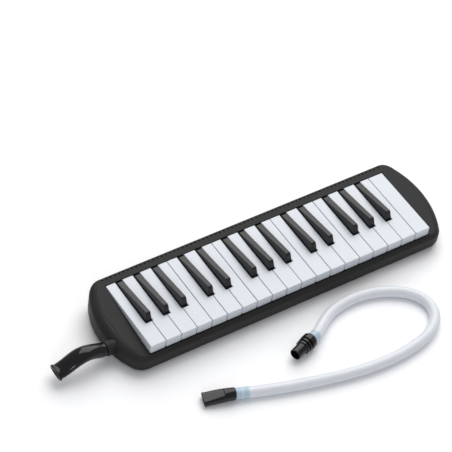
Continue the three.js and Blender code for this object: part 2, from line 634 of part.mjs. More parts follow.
// A bent tube from the back of the socket to the left end of the wind chest.
function airDuct() {
  const startX = socketInnerEnd() + FLANGE_THICKNESS + GAP;
  const endX = CHEST_LEFT - GAP;
  const midX = (startX + endX) / 2;
  const turn = (endX - startX) * 0.3;
  const path = new THREE.CatmullRomCurve3([
    new THREE.Vector3(startX, AIR_Y, AIR_HEIGHT),
    new THREE.Vector3(startX + turn, AIR_Y, AIR_HEIGHT),
    new THREE.Vector3(midX, AIR_Y + 11, AIR_HEIGHT - 1),
    new THREE.Vector3(midX, ductEndY() - 11, ductEndZ() + 1),
    new THREE.Vector3(endX - turn, ductEndY(), ductEndZ()),
    new THREE.Vector3(endX, ductEndY(), ductEndZ()),
  ]);
  const ring = new THREE.Shape();
  ring.absarc(0, 0, DUCT_RADIUS, 0, 2 * Math.PI, false);
  const hole = new THREE.Path();
  hole.absarc(0, 0, DUCT_BORE, 0, 2 * Math.PI, true);
  ring.holes.push(hole);
  const settings = { steps: 14, extrudePath: path, bevelEnabled: false, curveSegments: 4 };
  const tube = solid(new THREE.ExtrudeGeometry(ring, settings));
  const chestSide = block([CHEST_LEFT - GAP, FAR], [-FAR, FAR], [0, CASE_HEIGHT]);
  const socketSide = block([-FAR, startX], [-FAR, FAR], [0, CASE_HEIGHT]);
  return cut(tube, chestSide, socketSide);
}

// Centre line of the mouthpiece: straight in the socket, then up and over to the lips.
function mouthpieceCurve() {
  const rise = [
    [-SPIGOT_LENGTH, 0], [-SPIGOT_LENGTH / 2, 0], [0, 0], [3, 0.1], [7, 1.3], [13.5, 4.0], [23, 6.3],
    [30.5, 5.7], [37, 3.4], [45, -0.8], [52, -4.0], [59, -5.6],
  ];
  const points = [];
  for (const [out, up] of rise) {
    points.push(new THREE.Vector3(SOCKET_FACE - GAP - out, AIR_Y, AIR_HEIGHT + up));
  }
  return new THREE.CatmullRomCurve3(points);
}

function mouthpiece() {
  const curve = mouthpieceCurve();
  const end = curve.getLength();
  const face = SPIGOT_LENGTH;
  const grooveStart = face - GROOVE_REACH;
  const grooveEnd = grooveStart + SEAL_WIDTH + 2 * GAP;
  const outside = [
    [0, SPIGOT_RADIUS - 0.5, SPIGOT_RADIUS - 0.5],
    [1, SPIGOT_RADIUS, SPIGOT_RADIUS],
    [grooveStart, SPIGOT_RADIUS, SPIGOT_RADIUS],
    [grooveStart + 0.01, SEAL_GROOVE, SEAL_GROOVE],
    [grooveEnd, SEAL_GROOVE, SEAL_GROOVE],
    [grooveEnd + 0.01, SPIGOT_RADIUS, SPIGOT_RADIUS],
    [face, SPIGOT_RADIUS, SPIGOT_RADIUS],
    [face + 0.02, SPIGOT_RADIUS + 1.1, SPIGOT_RADIUS + 1.1],
    [face + 6, SPIGOT_RADIUS + 1.3, SPIGOT_RADIUS + 1.3],
    [face + 13, 8.2, 7.8],
    [face + 20, 8.9, 7.4],
    [face + 26, 9.5, 7.0],
    [face + 33, 9.9, 6.5],
    [face + 41, 9.9, 5.9],
    [end - 5, 9.7, 5.3],
    [end - 3, 9.8, 5.4],
    [end - 2.2, 10.8, 6.4],
    [end, 10.6, 6.2],
  ];
  const bore = [
    [0, SPIGOT_BORE, SPIGOT_BORE],
    [face, SPIGOT_BORE + 0.2, SPIGOT_BORE + 0.2],
    [face + 9, 5.2, 5.2],
    [face + 20, 6.8, 5.4],
    [face + 26, 7.5, 5.2],
    [face + 33, 8.1, 4.8],
    [face + 41, 8.2, 4.3],
    [end - 5, 8.3, 4.1],
    [end, 8.6, 4.3],
  ];
  return sweptShell(curve, outside, bore, new THREE.Vector3(0, 1, 0), 16);
}

function mouthpieceSeal() {
  const grooveBack = SOCKET_FACE - GAP + GROOVE_REACH;
  const span = [grooveBack - GAP - SEAL_WIDTH, grooveBack - GAP];
  const ring = barX(span, AIR_Y, AIR_HEIGHT, SOCKET_BORE - GAP, 20);
  return cut(ring, barX([span[0] - 1, span[1] + 1], AIR_Y, AIR_HEIGHT, SEAL_GROOVE + GAP, 20));
}

// ---------------------------------------------------------------- drain valve
function drainButton() {
  const sag = END_RADIUS - Math.sqrt(END_RADIUS ** 2 - DRAIN_Y ** 2);
  const capEnd = CASE_LENGTH / 2 - sag + BUTTON_PROUD;
  const cap = barX([BUTTON_BACK, capEnd], DRAIN_Y, DRAIN_HEIGHT, BUTTON_RADIUS, 20);
  const flangeEnd = BUTTON_BACK + BUTTON_FLANGE_THICKNESS;
  const flange = barX([BUTTON_BACK, flangeEnd], DRAIN_Y, DRAIN_HEIGHT, BUTTON_FLANGE, 20);
  const headEnd = SEAL_FACE - DRAIN_SEAL_THICKNESS - GAP;
  const stem = barX([headEnd - 1.4, BUTTON_BACK + 0.5], DRAIN_Y, DRAIN_HEIGHT, DRAIN_STEM, 10);
  const head = barX([headEnd - 1.4, headEnd], DRAIN_Y, DRAIN_HEIGHT, DRAIN_SEAL_RADIUS - 1, 12);
  return join(cap, flange, stem, head);
}

function drainSeal() {
  const span = [SEAL_FACE - DRAIN_SEAL_THICKNESS, SEAL_FACE];
  const disc = barX(span, DRAIN_Y, DRAIN_HEIGHT, DRAIN_SEAL_RADIUS, 16);
  return cut(disc, barX([span[0] - 1, span[1] + 1], DRAIN_Y, DRAIN_HEIGHT, DRAIN_STEM + GAP, 12));
}

class Helix extends THREE.Curve {
  constructor(from, to, radius, turns) {
    super();
    Object.assign(this, { from, to, radius, turns });
  }

  getPoint(t, target = new THREE.Vector3()) {
    const angle = 2 * Math.PI * this.turns * t;
    return target.set(
      THREE.MathUtils.lerp(this.from, this.to, t),
      DRAIN_Y + this.radius * Math.cos(angle),
      DRAIN_HEIGHT + this.radius * Math.sin(angle));
  }
}

function drainSpring() {
  const inset = GAP + 2 * SPRING_WIRE;
  const path = new Helix(CHEST_RIGHT + inset, BUTTON_BACK - inset, SPRING_COIL, 5);
  const wire = new THREE.Shape();
  wire.absarc(0, 0, SPRING_WIRE, 0, 2 * Math.PI, false);
  const settings = { steps: 40, extrudePath: path, bevelEnabled: false, curveSegments: 3 };
  return solid(new THREE.ExtrudeGeometry(wire, settings));
}

// ---------------------------------------------------------------- hose set, lying on the table
// Centre line of the hose, chosen by hand: x, y, height.
const HOSE_LINE = [
  [-10.6, -103.0, 9.2],
  [-1.0, -99.4, 9.0],
  [8.2, -93.2, 8.0],
  [18.5, -86.6, 6.8],
  [30.5, -80.8, 6.3],
  [44.5, -77.3, 6.3],
  [58.5, -75.9, 6.3],
  [72.0, -76.5, 6.3],
  [85.0, -79.0, 6.3],
  [98.0, -83.5, 6.3],
  [110.5, -90.0, 6.3],
  [121.5, -98.5, 6.3],
  [129.5, -109.5, 6.3],
  [132.5, -122.0, 6.3],
  [129.5, -135.0, 6.3],
  [121.0, -146.0, 6.3],
  [108.5, -154.0, 6.3],
  [93.5, -159.0, 6.3],
  [77.0, -162.0, 6.3],
  [60.0, -163.6, 6.3],
  [42.0, -163.8, 6.3],
  [22.0, -162.4, 6.3],
  [1.0, -159.4, 6.3],
  [-22.0, -154.8, 6.3],
  [-46.0, -149.0, 6.3],
  [-70.0, -142.4, 6.3],
  [-92.0, -135.6, 6.3],
  [-110.0, -129.6, 6.7],
  [-122.4, -125.4, 7.3],
].map(([x, y, z]) => new THREE.Vector3(x, y, z));

const hoseCurve = new THREE.CatmullRomCurve3(HOSE_LINE);

function hose() {
  const section = new THREE.Shape();
  section.absarc(0, 0, HOSE_RADIUS, 0, 2 * Math.PI, false);
  const settings = { steps: 44, extrudePath: hoseCurve, bevelEnabled: false, curveSegments: 4 };
  return solid(new THREE.ExtrudeGeometry(section, settings));
}

// The plug that fits the case's socket, with three round collars; the hose meets the largest.
function hoseAdapter() {
  const profile = [
    [SPIGOT_BORE, 0],
    [SPIGOT_RADIUS - 0.4, 0],
    [SPIGOT_RADIUS, 1],
    [SPIGOT_RADIUS, PLUG_SPIGOT],
    [SPIGOT_RADIUS + 1.0, PLUG_SPIGOT + 0.4],
    [SPIGOT_RADIUS + 1.0, PLUG_SPIGOT + 3],
    [SPIGOT_RADIUS + 0.3, PLUG_SPIGOT + 3.4],
    [SPIGOT_RADIUS + 0.3, PLUG_SPIGOT + 4.4],
    [SPIGOT_RADIUS + 1.7, PLUG_SPIGOT + 4.8],
    [SPIGOT_RADIUS + 1.7, PLUG_SPIGOT + 7.2],
    [SPIGOT_RADIUS + 0.7, PLUG_SPIGOT + 7.6],
    [SPIGOT_RADIUS + 0.7, PLUG_SPIGOT + 8.8],
    [ADAPTER_FLANGE, PLUG_SPIGOT + 9.2],
    [ADAPTER_FLANGE, ADAPTER_LENGTH - 3],
    [HOSE_RADIUS + 0.8, ADAPTER_LENGTH],
    [SPIGOT_BORE, ADAPTER_LENGTH],
    [SPIGOT_BORE, 0],
  ].map(([radius, along]) => new THREE.Vector2(radius, along));
  const lathe = new THREE.LatheGeometry(profile, 20);
  const along = hoseCurve.getTangentAt(0);
  const turn = new THREE.Quaternion().setFromUnitVectors(new THREE.Vector3(0, 1, 0), along);
  const foot = HOSE_LINE[0].clone().addScaledVector(along, -ADAPTER_LENGTH - GAP);
  return solid(lathe.applyQuaternion(turn).translate(foot.x, foot.y, foot.z));
}

function hoseMouthpiece() {
  const along = hoseCurve.getTangentAt(1);
  const start = HOSE_LINE[HOSE_LINE.length - 1].clone().addScaledVector(along, GAP);
  const bend = start.clone().addScaledVector(along, HOSE_MOUTH_LENGTH / 3);
  const lips = start.clone().addScaledVector(along, HOSE_MOUTH_LENGTH);
  lips.z = HOSE_MOUTH_REST;
  const curve = new THREE.QuadraticBezierCurve3(start, bend, lips);
  const across = new THREE.Vector3(-along.y, along.x, 0).normalize();
  const end = curve.getLength();
  const outside = [
    [0, HOSE_RADIUS + 0.6, HOSE_RADIUS + 0.6],
    [2, HOSE_RADIUS + 0.8, HOSE_RADIUS + 0.8],
    [8, HOSE_RADIUS + 1.2, HOSE_RADIUS + 0.4],
    [16, 7.8, 5.6],
    [26, 8.1, 4.4],
    [end, MOUTH_HALF_WIDTH, MOUTH_HALF_HEIGHT],
  ];
  const bore = [
    [0, 4.6, 4.6],
    [12, 5.6, 4.2],
    [26, 6.6, 3.0],
    [end, MOUTH_HALF_WIDTH - 1.4, MOUTH_HALF_HEIGHT - 1.3],
  ];
  return sweptShell(curve, outside, bore, across, 20);
}

// ---------------------------------------------------------------- assembly
const melodica = new THREE.Group();

function place(name, body, material) {
  const mesh = new THREE.Mesh(toGeometry(body), material);
  mesh.name = name;
  melodica.add(mesh);
}

const numbered = (name, i) => `${name}_${String(i + 1).padStart(2, '0')}`;

whiteKeys.forEach((key, i) => place(numbered('white_key', i), whiteKey(key), whitePlastic));
blackCentres.forEach((x, i) => place(numbered('black_key', i), blackKey(x), blackPlastic));
place('upper_case', upperCase(), charcoal);
place('lower_case', lowerCase(), charcoal);
endScrews.forEach((screw, i) => place(numbered('case_screw', i), caseScrew(screw), steel));
chestScrews.forEach((screw, i) => place(numbered('chest_screw', i), caseScrew(screw), steel));
place('key_stop_felt', stopFelt(), felt);
place('key_rail', keyRail(), innerPlastic);
place('pivot_rod', pivotRod(), steel);
place('key_springs', springComb(), steel);
place('wind_chest', windChest(), innerPlastic);
place('chest_gasket', chestGasket(), rubber);
place('chest_cover', chestCover(), innerPlastic);
const middle = Math.ceil(stemCentres.length / 2);
place('reed_plate_low', reedPlate(0, middle), brass);
place('reed_plate_high', reedPlate(middle, stemCentres.length), brass);
place('mouthpiece_socket', mouthpieceSocket(), charcoal);
place('air_duct', airDuct(), innerPlastic);
place('mouthpiece_seal', mouthpieceSeal(), rubber);
place('mouthpiece', mouthpiece(), glossBlack);
place('drain_button', drainButton(), charcoal);
place('drain_seal', drainSeal(), rubber);
place('drain_spring', drainSpring(), steel);
place('hose_adapter', hoseAdapter(), glossBlack);
place('hose', hose(), milkyHose);
place('hose_mouthpiece', hoseMouthpiece(), glossBlack);

export default melodica;
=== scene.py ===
# %% [markdown]
# # A melodica with 32 keys
# A melodica is a small wind instrument: the player blows into one end and piano keys let the air
# through brass reeds. The mechanical parts arrive ready made, at their real size. This lesson gives
# them their fine shapes and their plastics, rubber, felt and metal. All lengths in the text below
# are in millimetres; Blender itself works in metres, so every mesh is shrunk once, at its end.

# %% Load the frame
import json
import math

import bmesh
import bpy
from mathutils import Matrix, Vector


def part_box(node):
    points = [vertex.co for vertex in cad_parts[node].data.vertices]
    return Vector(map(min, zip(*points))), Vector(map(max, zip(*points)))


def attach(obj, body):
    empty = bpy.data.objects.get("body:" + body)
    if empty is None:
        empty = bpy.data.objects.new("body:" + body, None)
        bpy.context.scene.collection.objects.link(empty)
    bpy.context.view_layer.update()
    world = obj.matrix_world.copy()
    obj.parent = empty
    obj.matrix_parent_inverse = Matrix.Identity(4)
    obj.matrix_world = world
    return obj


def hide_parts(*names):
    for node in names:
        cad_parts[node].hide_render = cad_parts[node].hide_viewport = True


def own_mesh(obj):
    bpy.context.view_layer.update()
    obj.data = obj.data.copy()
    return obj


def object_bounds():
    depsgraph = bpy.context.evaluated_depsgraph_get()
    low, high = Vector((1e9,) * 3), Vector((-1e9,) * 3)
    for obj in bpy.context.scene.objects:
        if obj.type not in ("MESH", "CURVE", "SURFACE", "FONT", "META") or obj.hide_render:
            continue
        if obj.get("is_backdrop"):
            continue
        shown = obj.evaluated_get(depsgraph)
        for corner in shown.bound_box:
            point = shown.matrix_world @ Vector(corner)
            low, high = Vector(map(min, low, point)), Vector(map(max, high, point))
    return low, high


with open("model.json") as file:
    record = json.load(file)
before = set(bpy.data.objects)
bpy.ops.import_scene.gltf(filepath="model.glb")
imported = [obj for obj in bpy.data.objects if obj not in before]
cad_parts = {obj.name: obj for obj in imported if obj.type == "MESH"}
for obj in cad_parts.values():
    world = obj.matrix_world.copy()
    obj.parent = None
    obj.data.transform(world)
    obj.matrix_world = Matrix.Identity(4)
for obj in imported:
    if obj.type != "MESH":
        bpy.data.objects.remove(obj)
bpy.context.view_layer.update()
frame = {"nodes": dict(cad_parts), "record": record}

MM = 0.001
UP = Vector((0, 0, 1))


def box(node):
    """Lowest and highest corner of a part, in millimetres."""
    low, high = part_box(node)
    return low / MM, high / MM


# %% [markdown]
# ## Camera
# The instrument is seen from its mouthpiece end, from above and from far away with a long lens, so
# that the keys stay almost parallel. The camera is turned a little about its own line of sight.

# %% Make the camera
CAMERA_PLACE = Vector((-1.093, -1.24888, 1.88744))
CAMERA_LENS = 183.66
AZIMUTH, ELEVATION, ROLL = (math.radians(angle) for angle in (-39.41, 47.64, 9.03))


def make_camera():
    back = Vector((
        math.sin(AZIMUTH) * math.cos(ELEVATION),
        -math.cos(AZIMUTH) * math.cos(ELEVATION),
        math.sin(ELEVATION)))
    right = (-back).cross(UP).normalized()
    top = back.cross(right)
    turned_right = right * math.cos(ROLL) + top * math.sin(ROLL)
    turned_top = top * math.cos(ROLL) - right * math.sin(ROLL)
    data = bpy.data.cameras.new("camera")
    data.lens, data.sensor_width = CAMERA_LENS, 36
    data.clip_start, data.clip_end = 0.1, 50
    camera = bpy.data.objects.new("camera", data)
    turn = Matrix((turned_right, turned_top, back)).transposed()
    camera.matrix_world = Matrix.Translation(CAMERA_PLACE) @ turn.to_4x4()
    bpy.context.collection.objects.link(camera)
    bpy.context.scene.camera = camera
    return camera


camera = make_camera()
print("camera at", [round(v, 3) for v in camera.matrix_world.translation])

# %% [markdown]
# ## Shader maths in plain Python
# A material is a tree of nodes. Written as nodes, a sum of three signals takes a dozen lines, so a
# small class wraps a socket and lets it be added and multiplied like a number. Every other node,
# in a material or in a geometry tree, comes from one method.


# %% A wire that can be used in sums
class Wire:
    """The output of a node. Sums and products with it add Math nodes."""

    def __init__(self, tree, node, socket):
        self.tree, self.node, self.socket = tree, node, socket

    def math(self, operation, first, second, clamp=False):
        settings = {"operation": operation, "use_clamp": clamp}
        return self.tree.add("ShaderNodeMath", settings, {0: first, 1: second})

    def __add__(self, other):
        return self.math("ADD", self, other)

    def __sub__(self, other):
        return self.math("SUBTRACT", self, other)

    def __rsub__(self, other):
        return self.math("SUBTRACT", other, self)

    def __mul__(self, other):
        return self.math("MULTIPLY", self, other)

    def __truediv__(self, other):
        return self.math("DIVIDE", self, other)

    __radd__, __rmul__ = __add__, __mul__

    def between(self, low, high):
        """0 at low, 1 at high and a straight line between them."""
        return self.math("MULTIPLY", self - low, 1 / (high - low), clamp=True)


class Tree:
    """Adds nodes of any kind to a material or to a geometry tree."""

    def __init__(self, nodes):
        self.nodes = nodes

    def add(self, kind, settings=None, inputs=None, out=0):
        node = self.nodes.nodes.new(kind)
        for name, value in (settings or {}).items():
            setattr(node, name, value)
        for name, value in (inputs or {}).items():
            self.feed(node.inputs[name], value)
        return Wire(self, node, node.outputs[out] if node.outputs else None)

    def feed(self, socket, value):
        if isinstance(value, Wire):
            self.nodes.links.new(value.socket, socket)
        else:
            socket.default_value = value

    def noise(self, place, size, detail=2.0):
        """Cloudy noise whose patches are about `size` millimetres across."""
        inputs = {"Vector": place, "Scale": 1 / (size * MM), "Detail": detail}
        return self.add("ShaderNodeTexNoise", None, inputs)

    def mix(self, share, first, second):
        """First colour where share is 0, second where it is 1."""
        return self.add("ShaderNodeMix", {"data_type": "RGBA"}, {0: share, 6: first, 7: second}, out=2)


print("shader helpers ready")

# %% [markdown]
# ## Plastics
# The same few things make any moulded plastic believable: a fine grain in the surface, slow changes
# of gloss where hands have polished it, a hint of colour change, and edges painted a little lighter,
# partly as wear where they rub and partly as a painted highlight. One function makes them all, and each
# plastic gets its own sizes.


# %% Plastic
def rgba(colour, scale=1.0):
    return (*(min(1.0, channel * scale) for channel in colour), 1.0)


def plastic(
        name, colour, roughness, grain, grain_height, uneven=0.08, tint=0.1, edge_wear_and_highlight=0.0, **constants):
    """Moulded plastic. grain is the size of its texture and grain_height its depth, in millimetres."""
    material = bpy.data.materials.new(name)
    material.use_nodes = True
    tree = Tree(material.node_tree)
    shader = material.node_tree.nodes["Principled BSDF"]
    place = tree.add("ShaderNodeTexCoord", out="Object")
    patches = tree.noise(place, 45)
    fine = tree.noise(place, grain, 3.0)
    scuffs = tree.noise(place, 4, 4.0).between(0.45, 0.75)
    base = tree.mix(patches.between(0.3, 0.7), rgba(colour, 1 - tint), rgba(colour, 1 + tint))
    gloss = roughness + uneven * (patches - 0.5) + 0.5 * uneven * scuffs
    if edge_wear_and_highlight:
        # Convex edges are painted paler: partly rubbed wear, partly a painted highlight along shoulders and
        # key edges.
        edges = tree.add("ShaderNodeNewGeometry", out="Pointiness").between(0.52, 0.58)
        base = tree.mix(edges * edge_wear_and_highlight, base, rgba([channel * 1.6 + 0.02 for channel in colour]))
    bump = tree.add("ShaderNodeBump", None, {
        "Strength": 1.0, "Distance": grain_height * MM, "Height": fine + 0.3 * scuffs})
    tree.feed(shader.inputs["Base Color"], base)
    tree.feed(shader.inputs["Roughness"], gloss)
    tree.feed(shader.inputs["Normal"], bump)
    for socket, value in constants.items():
        shader.inputs[socket.replace("_", " ")].default_value = value
    return material


finishes = {
    "case_plastic": plastic(
        "charcoal_case", (0.016, 0.016, 0.0162), 0.55, 0.35, 0.02, edge_wear_and_highlight=0.25,
        Specular_IOR_Level=0.22),
    "white_plastic": plastic(
        "white_key", (0.60, 0.63, 0.675), 0.3, 1.2, 0.004, tint=0.015,
        Coat_Weight=0.2, Coat_Roughness=0.15),
    "black_key_plastic": plastic(
        "black_key", (0.006, 0.0055, 0.0065), 0.26, 0.5, 0.004, edge_wear_and_highlight=0.1,
        Specular_IOR_Level=0.36),
    "gloss_black": plastic(
        "gloss_black", (0.003, 0.003, 0.0045), 0.1, 3.0, 0.004, uneven=0.04,
        Specular_IOR_Level=0.36),
    "inner_plastic": plastic("inner_grey", (0.28, 0.29, 0.31), 0.45, 0.8, 0.01),
    "rubber": plastic("seal_rubber", (0.02, 0.02, 0.02), 0.7, 0.3, 0.03),
}
print(len(finishes), "plastics")

# %% [markdown]
# ## Felt, metals and the milky hose
# Felt is rough in both colour and height. Sheet brass and spring steel carry fine rolling lines, so
# their noise is stretched along one direction. The hose is soft milky vinyl: some light goes into it,
# and it looks bluer where a black spigot sits inside it, which a value stored on its mesh says.


# %% Felt
def felt():
    material = plastic("stop_felt", (0.25, 0.03, 0.03), 0.95, 0.5, 0.25, tint=0.25)
    shader = material.node_tree.nodes["Principled BSDF"]
    shader.inputs["Sheen Weight"].default_value = 0.6
    return material


# %% Rolled metal
def rolled_metal(name, colour, roughness):
    material = bpy.data.materials.new(name)
    material.use_nodes = True
    tree = Tree(material.node_tree)
    shader = material.node_tree.nodes["Principled BSDF"]
    place = tree.add("ShaderNodeTexCoord", out="Object")
    stretched = tree.add("ShaderNodeMapping", None, {"Vector": place, "Scale": (0.05, 1, 1)})
    lines = tree.noise(stretched, 0.4, 3.0)
    stains = tree.noise(place, 9, 3.0).between(0.4, 0.75)
    base = tree.mix(stains * 0.5, rgba(colour), rgba(colour, 0.7))
    bump = tree.add("ShaderNodeBump", None, {"Distance": 0.008 * MM, "Height": lines})
    tree.feed(shader.inputs["Base Color"], base)
    tree.feed(shader.inputs["Roughness"], roughness + 0.15 * lines + 0.15 * stains)
    tree.feed(shader.inputs["Normal"], bump)
    shader.inputs["Metallic"].default_value = 1.0
    return material


# %% Hose vinyl
def hose_vinyl():
    material = bpy.data.materials.new("milky_vinyl")
    material.use_nodes = True
    tree = Tree(material.node_tree)
    shader = material.node_tree.nodes["Principled BSDF"]
    place = tree.add("ShaderNodeTexCoord", out="Object")
    spigot = tree.add("ShaderNodeAttribute", {"attribute_name": "spigot_inside"}, out="Fac")
    cloud = tree.noise(place, 12).between(0.3, 0.7)
    milk = tree.mix(cloud, (0.70, 0.73, 0.81, 1), (0.72, 0.75, 0.82, 1))
    ripple = tree.noise(place, 2.5, 3.0)
    bump = tree.add("ShaderNodeBump", None, {"Distance": 0.012 * MM, "Height": ripple})
    tree.feed(shader.inputs["Base Color"], tree.mix(spigot, milk, (0.42, 0.54, 0.66, 1)))
    tree.feed(shader.inputs["Roughness"], 0.3 + 0.05 * cloud)
    tree.feed(shader.inputs["Normal"], bump)
    shader.inputs["Subsurface Weight"].default_value = 0.35
    shader.inputs["Subsurface Radius"].default_value = (0.004, 0.005, 0.007)
    shader.inputs["Subsurface Scale"].default_value = 1.0
    return material


finishes["felt"] = felt()
finishes["brass"] = rolled_metal("reed_brass", (0.62, 0.45, 0.18), 0.28)
finishes["steel"] = rolled_metal("bright_steel", (0.55, 0.56, 0.58), 0.25)
finishes["hose_vinyl"] = hose_vinyl()
print(sorted(finishes))

# %% [markdown]
# ## Rings and skins
# Nearly every piece here is a stack of rings with a skin between them: a tube, a mouthpiece, a plug,
# and even the case. A path knows where it is at a given distance and which way is along, sideways and
# up, so a ring can be set on it. A hollow piece runs its rings forward outside and back inside.


# %% A smooth line through chosen points
def smooth_line(points, steps):
    """A centripetal Catmull-Rom line through the points, with `steps` stretches in each span."""
    padded = [2 * points[0] - points[1], *points, 2 * points[-1] - points[-2]]
    line = []
    for before, start, end, after in zip(padded, padded[1:], padded[2:], padded[3:]):
        a, b, c = ((q - p).length ** 0.5 for p, q in ((before, start), (start, end), (end, after)))
        leave = ((start - before) / a - (end - before) / (a + b) + (end - start) / b) * b
        reach = ((end - start) / b - (after - start) / (b + c) + (after - end) / c) * b
        for i in range(steps):
            t = i / steps
            line.append(
                start * (2 * t**3 - 3 * t**2 + 1) + leave * (t**3 - 2 * t**2 + t)
                + end * (3 * t**2 - 2 * t**3) + reach * (t**3 - t**2))
    return [*line, points[-1]]


# %% A path that rings can be set on
class Path:
    def __init__(self, points):
        self.points = points
        self.reach = [0.0]
        for p, q in zip(points, points[1:]):
            self.reach.append(self.reach[-1] + (q - p).length)
        self.length = self.reach[-1]

    def at(self, distance):
        """The point at a distance, going straight on beyond either end."""
        i = 0
        while i < len(self.points) - 2 and self.reach[i + 1] < distance:
            i += 1
        share = (distance - self.reach[i]) / (self.reach[i + 1] - self.reach[i])
        start, end = self.points[i], self.points[i + 1]
        return start.lerp(end, share) if 0 <= share <= 1 else start + (end - start) * share

    def ring(self, distance, half_width, half_height, count, squareness=1.0):
        """A ring across the path. squareness below 1 flattens its sides."""
        along = (self.at(distance + 0.4) - self.at(distance - 0.4)).normalized()
        side = along.cross(UP).normalized()
        top = side.cross(along)
        centre, ring = self.at(distance), []
        for i in range(count):
            angle = 2 * math.pi * i / count
            across, rise = math.cos(angle), math.sin(angle)
            across = math.copysign(abs(across) ** squareness, across)
            rise = math.copysign(abs(rise) ** squareness, rise)
            ring.append(centre + side * half_width * across + top * half_height * rise)
        return ring


# %% Skin over rings
def skin(rings, closed):
    """Quads between rings. A closed skin joins the last ring to the first; an open one is capped."""
    shape = bmesh.new()
    rows = [[shape.verts.new(point) for point in ring] for ring in rings]
    pairs = list(zip(rows, rows[1:]))
    if closed:
        pairs.append((rows[-1], rows[0]))
    for first, second in pairs:
        for i in range(len(first)):
            j = (i + 1) % len(first)
            shape.faces.new((first[i], first[j], second[j], second[i]))
    if not closed:
        shape.faces.new(reversed(rows[0]))
        shape.faces.new(rows[-1])
    return shape


def to_mesh(shape, name, sharp=38):
    """Merges doubles, turns the faces outwards and shrinks millimetres to metres."""
    bmesh.ops.remove_doubles(shape, verts=shape.verts, dist=1e-4)
    bmesh.ops.recalc_face_normals(shape, faces=shape.faces)
    mesh = bpy.data.meshes.new(name)
    shape.to_mesh(mesh)
    shape.free()
    mesh.transform(Matrix.Scale(MM, 4))
    smooth(mesh, sharp)
    return mesh


def smooth(mesh, sharp=38):
    mesh.polygons.foreach_set("use_smooth", [True] * len(mesh.polygons))
    mesh.set_sharp_from_angle(angle=math.radians(sharp))


# %% Put a finished mesh on its body
def add_piece(name, mesh, body, slot, nodes=(), flat_faces=False):
    """Gives the mesh its finish and its body, and lets it stand for CAD parts."""
    piece = bpy.data.objects.new(name, mesh)
    bpy.context.collection.objects.link(piece)
    mesh.materials.clear()
    mesh.materials.append(finishes[slot])
    if flat_faces:
        even = piece.modifiers.new("even_normals", "WEIGHTED_NORMAL")
        even.keep_sharp = True
    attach(piece, body)
    if nodes:
        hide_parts(*nodes)
    return piece


print("ring and skin helpers ready")

# %% [markdown]
# ## The hose
# The hose lies on the table in one open loop, with its plug at one end and a flat mouthpiece at the
# other. It is a cord, so it comes first: a tube of fixed length with a wall, laid along the chosen
# line. It is a mesh rather than a curve, because it is hollow and stores where the spigots are.

# %% Hose line
HOSE_POINTS = [Vector(point) for point in (
    (-10.6, -103.0, 9.2), (-1.0, -99.4, 9.0), (8.2, -93.2, 8.0), (18.5, -86.6, 6.8),
    (30.5, -80.8, 6.3), (44.5, -77.3, 6.3), (58.5, -75.9, 6.3), (72.0, -76.5, 6.3),
    (85.0, -79.0, 6.3), (98.0, -83.5, 6.3), (110.5, -90.0, 6.3), (121.5, -98.5, 6.3),
    (129.5, -109.5, 6.3), (132.5, -122.0, 6.3), (129.5, -135.0, 6.3), (121.0, -146.0, 6.3),
    (108.5, -154.0, 6.3), (93.5, -159.0, 6.3), (77.0, -162.0, 6.3), (60.0, -163.6, 6.3),
    (42.0, -163.8, 6.3), (22.0, -162.4, 6.3), (1.0, -159.4, 6.3), (-22.0, -154.8, 6.3),
    (-46.0, -149.0, 6.3), (-70.0, -142.4, 6.3), (-92.0, -135.6, 6.3), (-110.0, -129.6, 6.7),
    (-122.4, -125.4, 7.3))]
HOSE_RADIUS = 6.2
HOSE_BORE = 4.7
PLUG_SPIGOT = 7.0       # length of the plug's spigot inside the hose
MOUTH_SPIGOT = 14.0     # and of the mouthpiece's
hose_path = Path(smooth_line(HOSE_POINTS, 8))
print("hose length", round(hose_path.length, 1), "mm")


# %% Hose
HOSE_SIDES = 32
HOSE_STEPS = 260


def hose_mesh():
    stations = [hose_path.length * i / HOSE_STEPS for i in range(HOSE_STEPS + 1)]
    outside, inside, spigot = [], [], []
    for distance in stations:
        from_end = min(distance, hose_path.length - distance)
        lip = 0.4 * max(0.0, 1 - from_end / 0.8) ** 2
        left = hose_path.length - distance
        faint_rib = 0.05 * math.sin(distance * 2.1) * max(0.0, 1 - left / 60)
        radius = HOSE_RADIUS - lip + faint_rib
        outside.append(hose_path.ring(distance, radius, radius, HOSE_SIDES))
        inside.append(hose_path.ring(distance, HOSE_BORE, HOSE_BORE, HOSE_SIDES))
        plug = max(0.0, min(1.0, (PLUG_SPIGOT - distance) / 0.7 + 0.5))
        covered = max(0.0, min(1.0, (MOUTH_SPIGOT - left) / 0.7 + 0.5))
        bead = max(0.0, 1 - abs(left - 7.0) / 0.9)
        spigot.append(max(plug, covered * (1 - 0.6 * bead)))
    mesh = to_mesh(skin([*outside, *reversed(inside)], closed=True), "hose_tube")
    value = mesh.attributes.new("spigot_inside", "FLOAT", "POINT")
    rows = [*spigot, *reversed(spigot)]
    flat = [amount for amount in rows for _ in range(HOSE_SIDES)]
    value.data.foreach_set("value", flat)
    return mesh


hose = add_piece("hose_tube", hose_mesh(), "hose_set", "hose_vinyl", ["hose"])
print(len(hose.data.polygons), "faces in the hose")

# %% [markdown]
# ### The plug and the flat mouthpiece
# The plug has a spigot that fits the instrument's socket and three round collars to grip. The flat
# mouthpiece is round where it enters the hose and narrows to the lips. Both are swept hollow pieces.


# %% Swept hollow piece
def swept(path, outside, bore, count=48):
    """Each station is distance, half width, half height and, if wanted, squareness."""
    stations = [*outside, *reversed(bore)]
    return skin([path.ring(*station[:3], count, *station[3:]) for station in stations], closed=True)


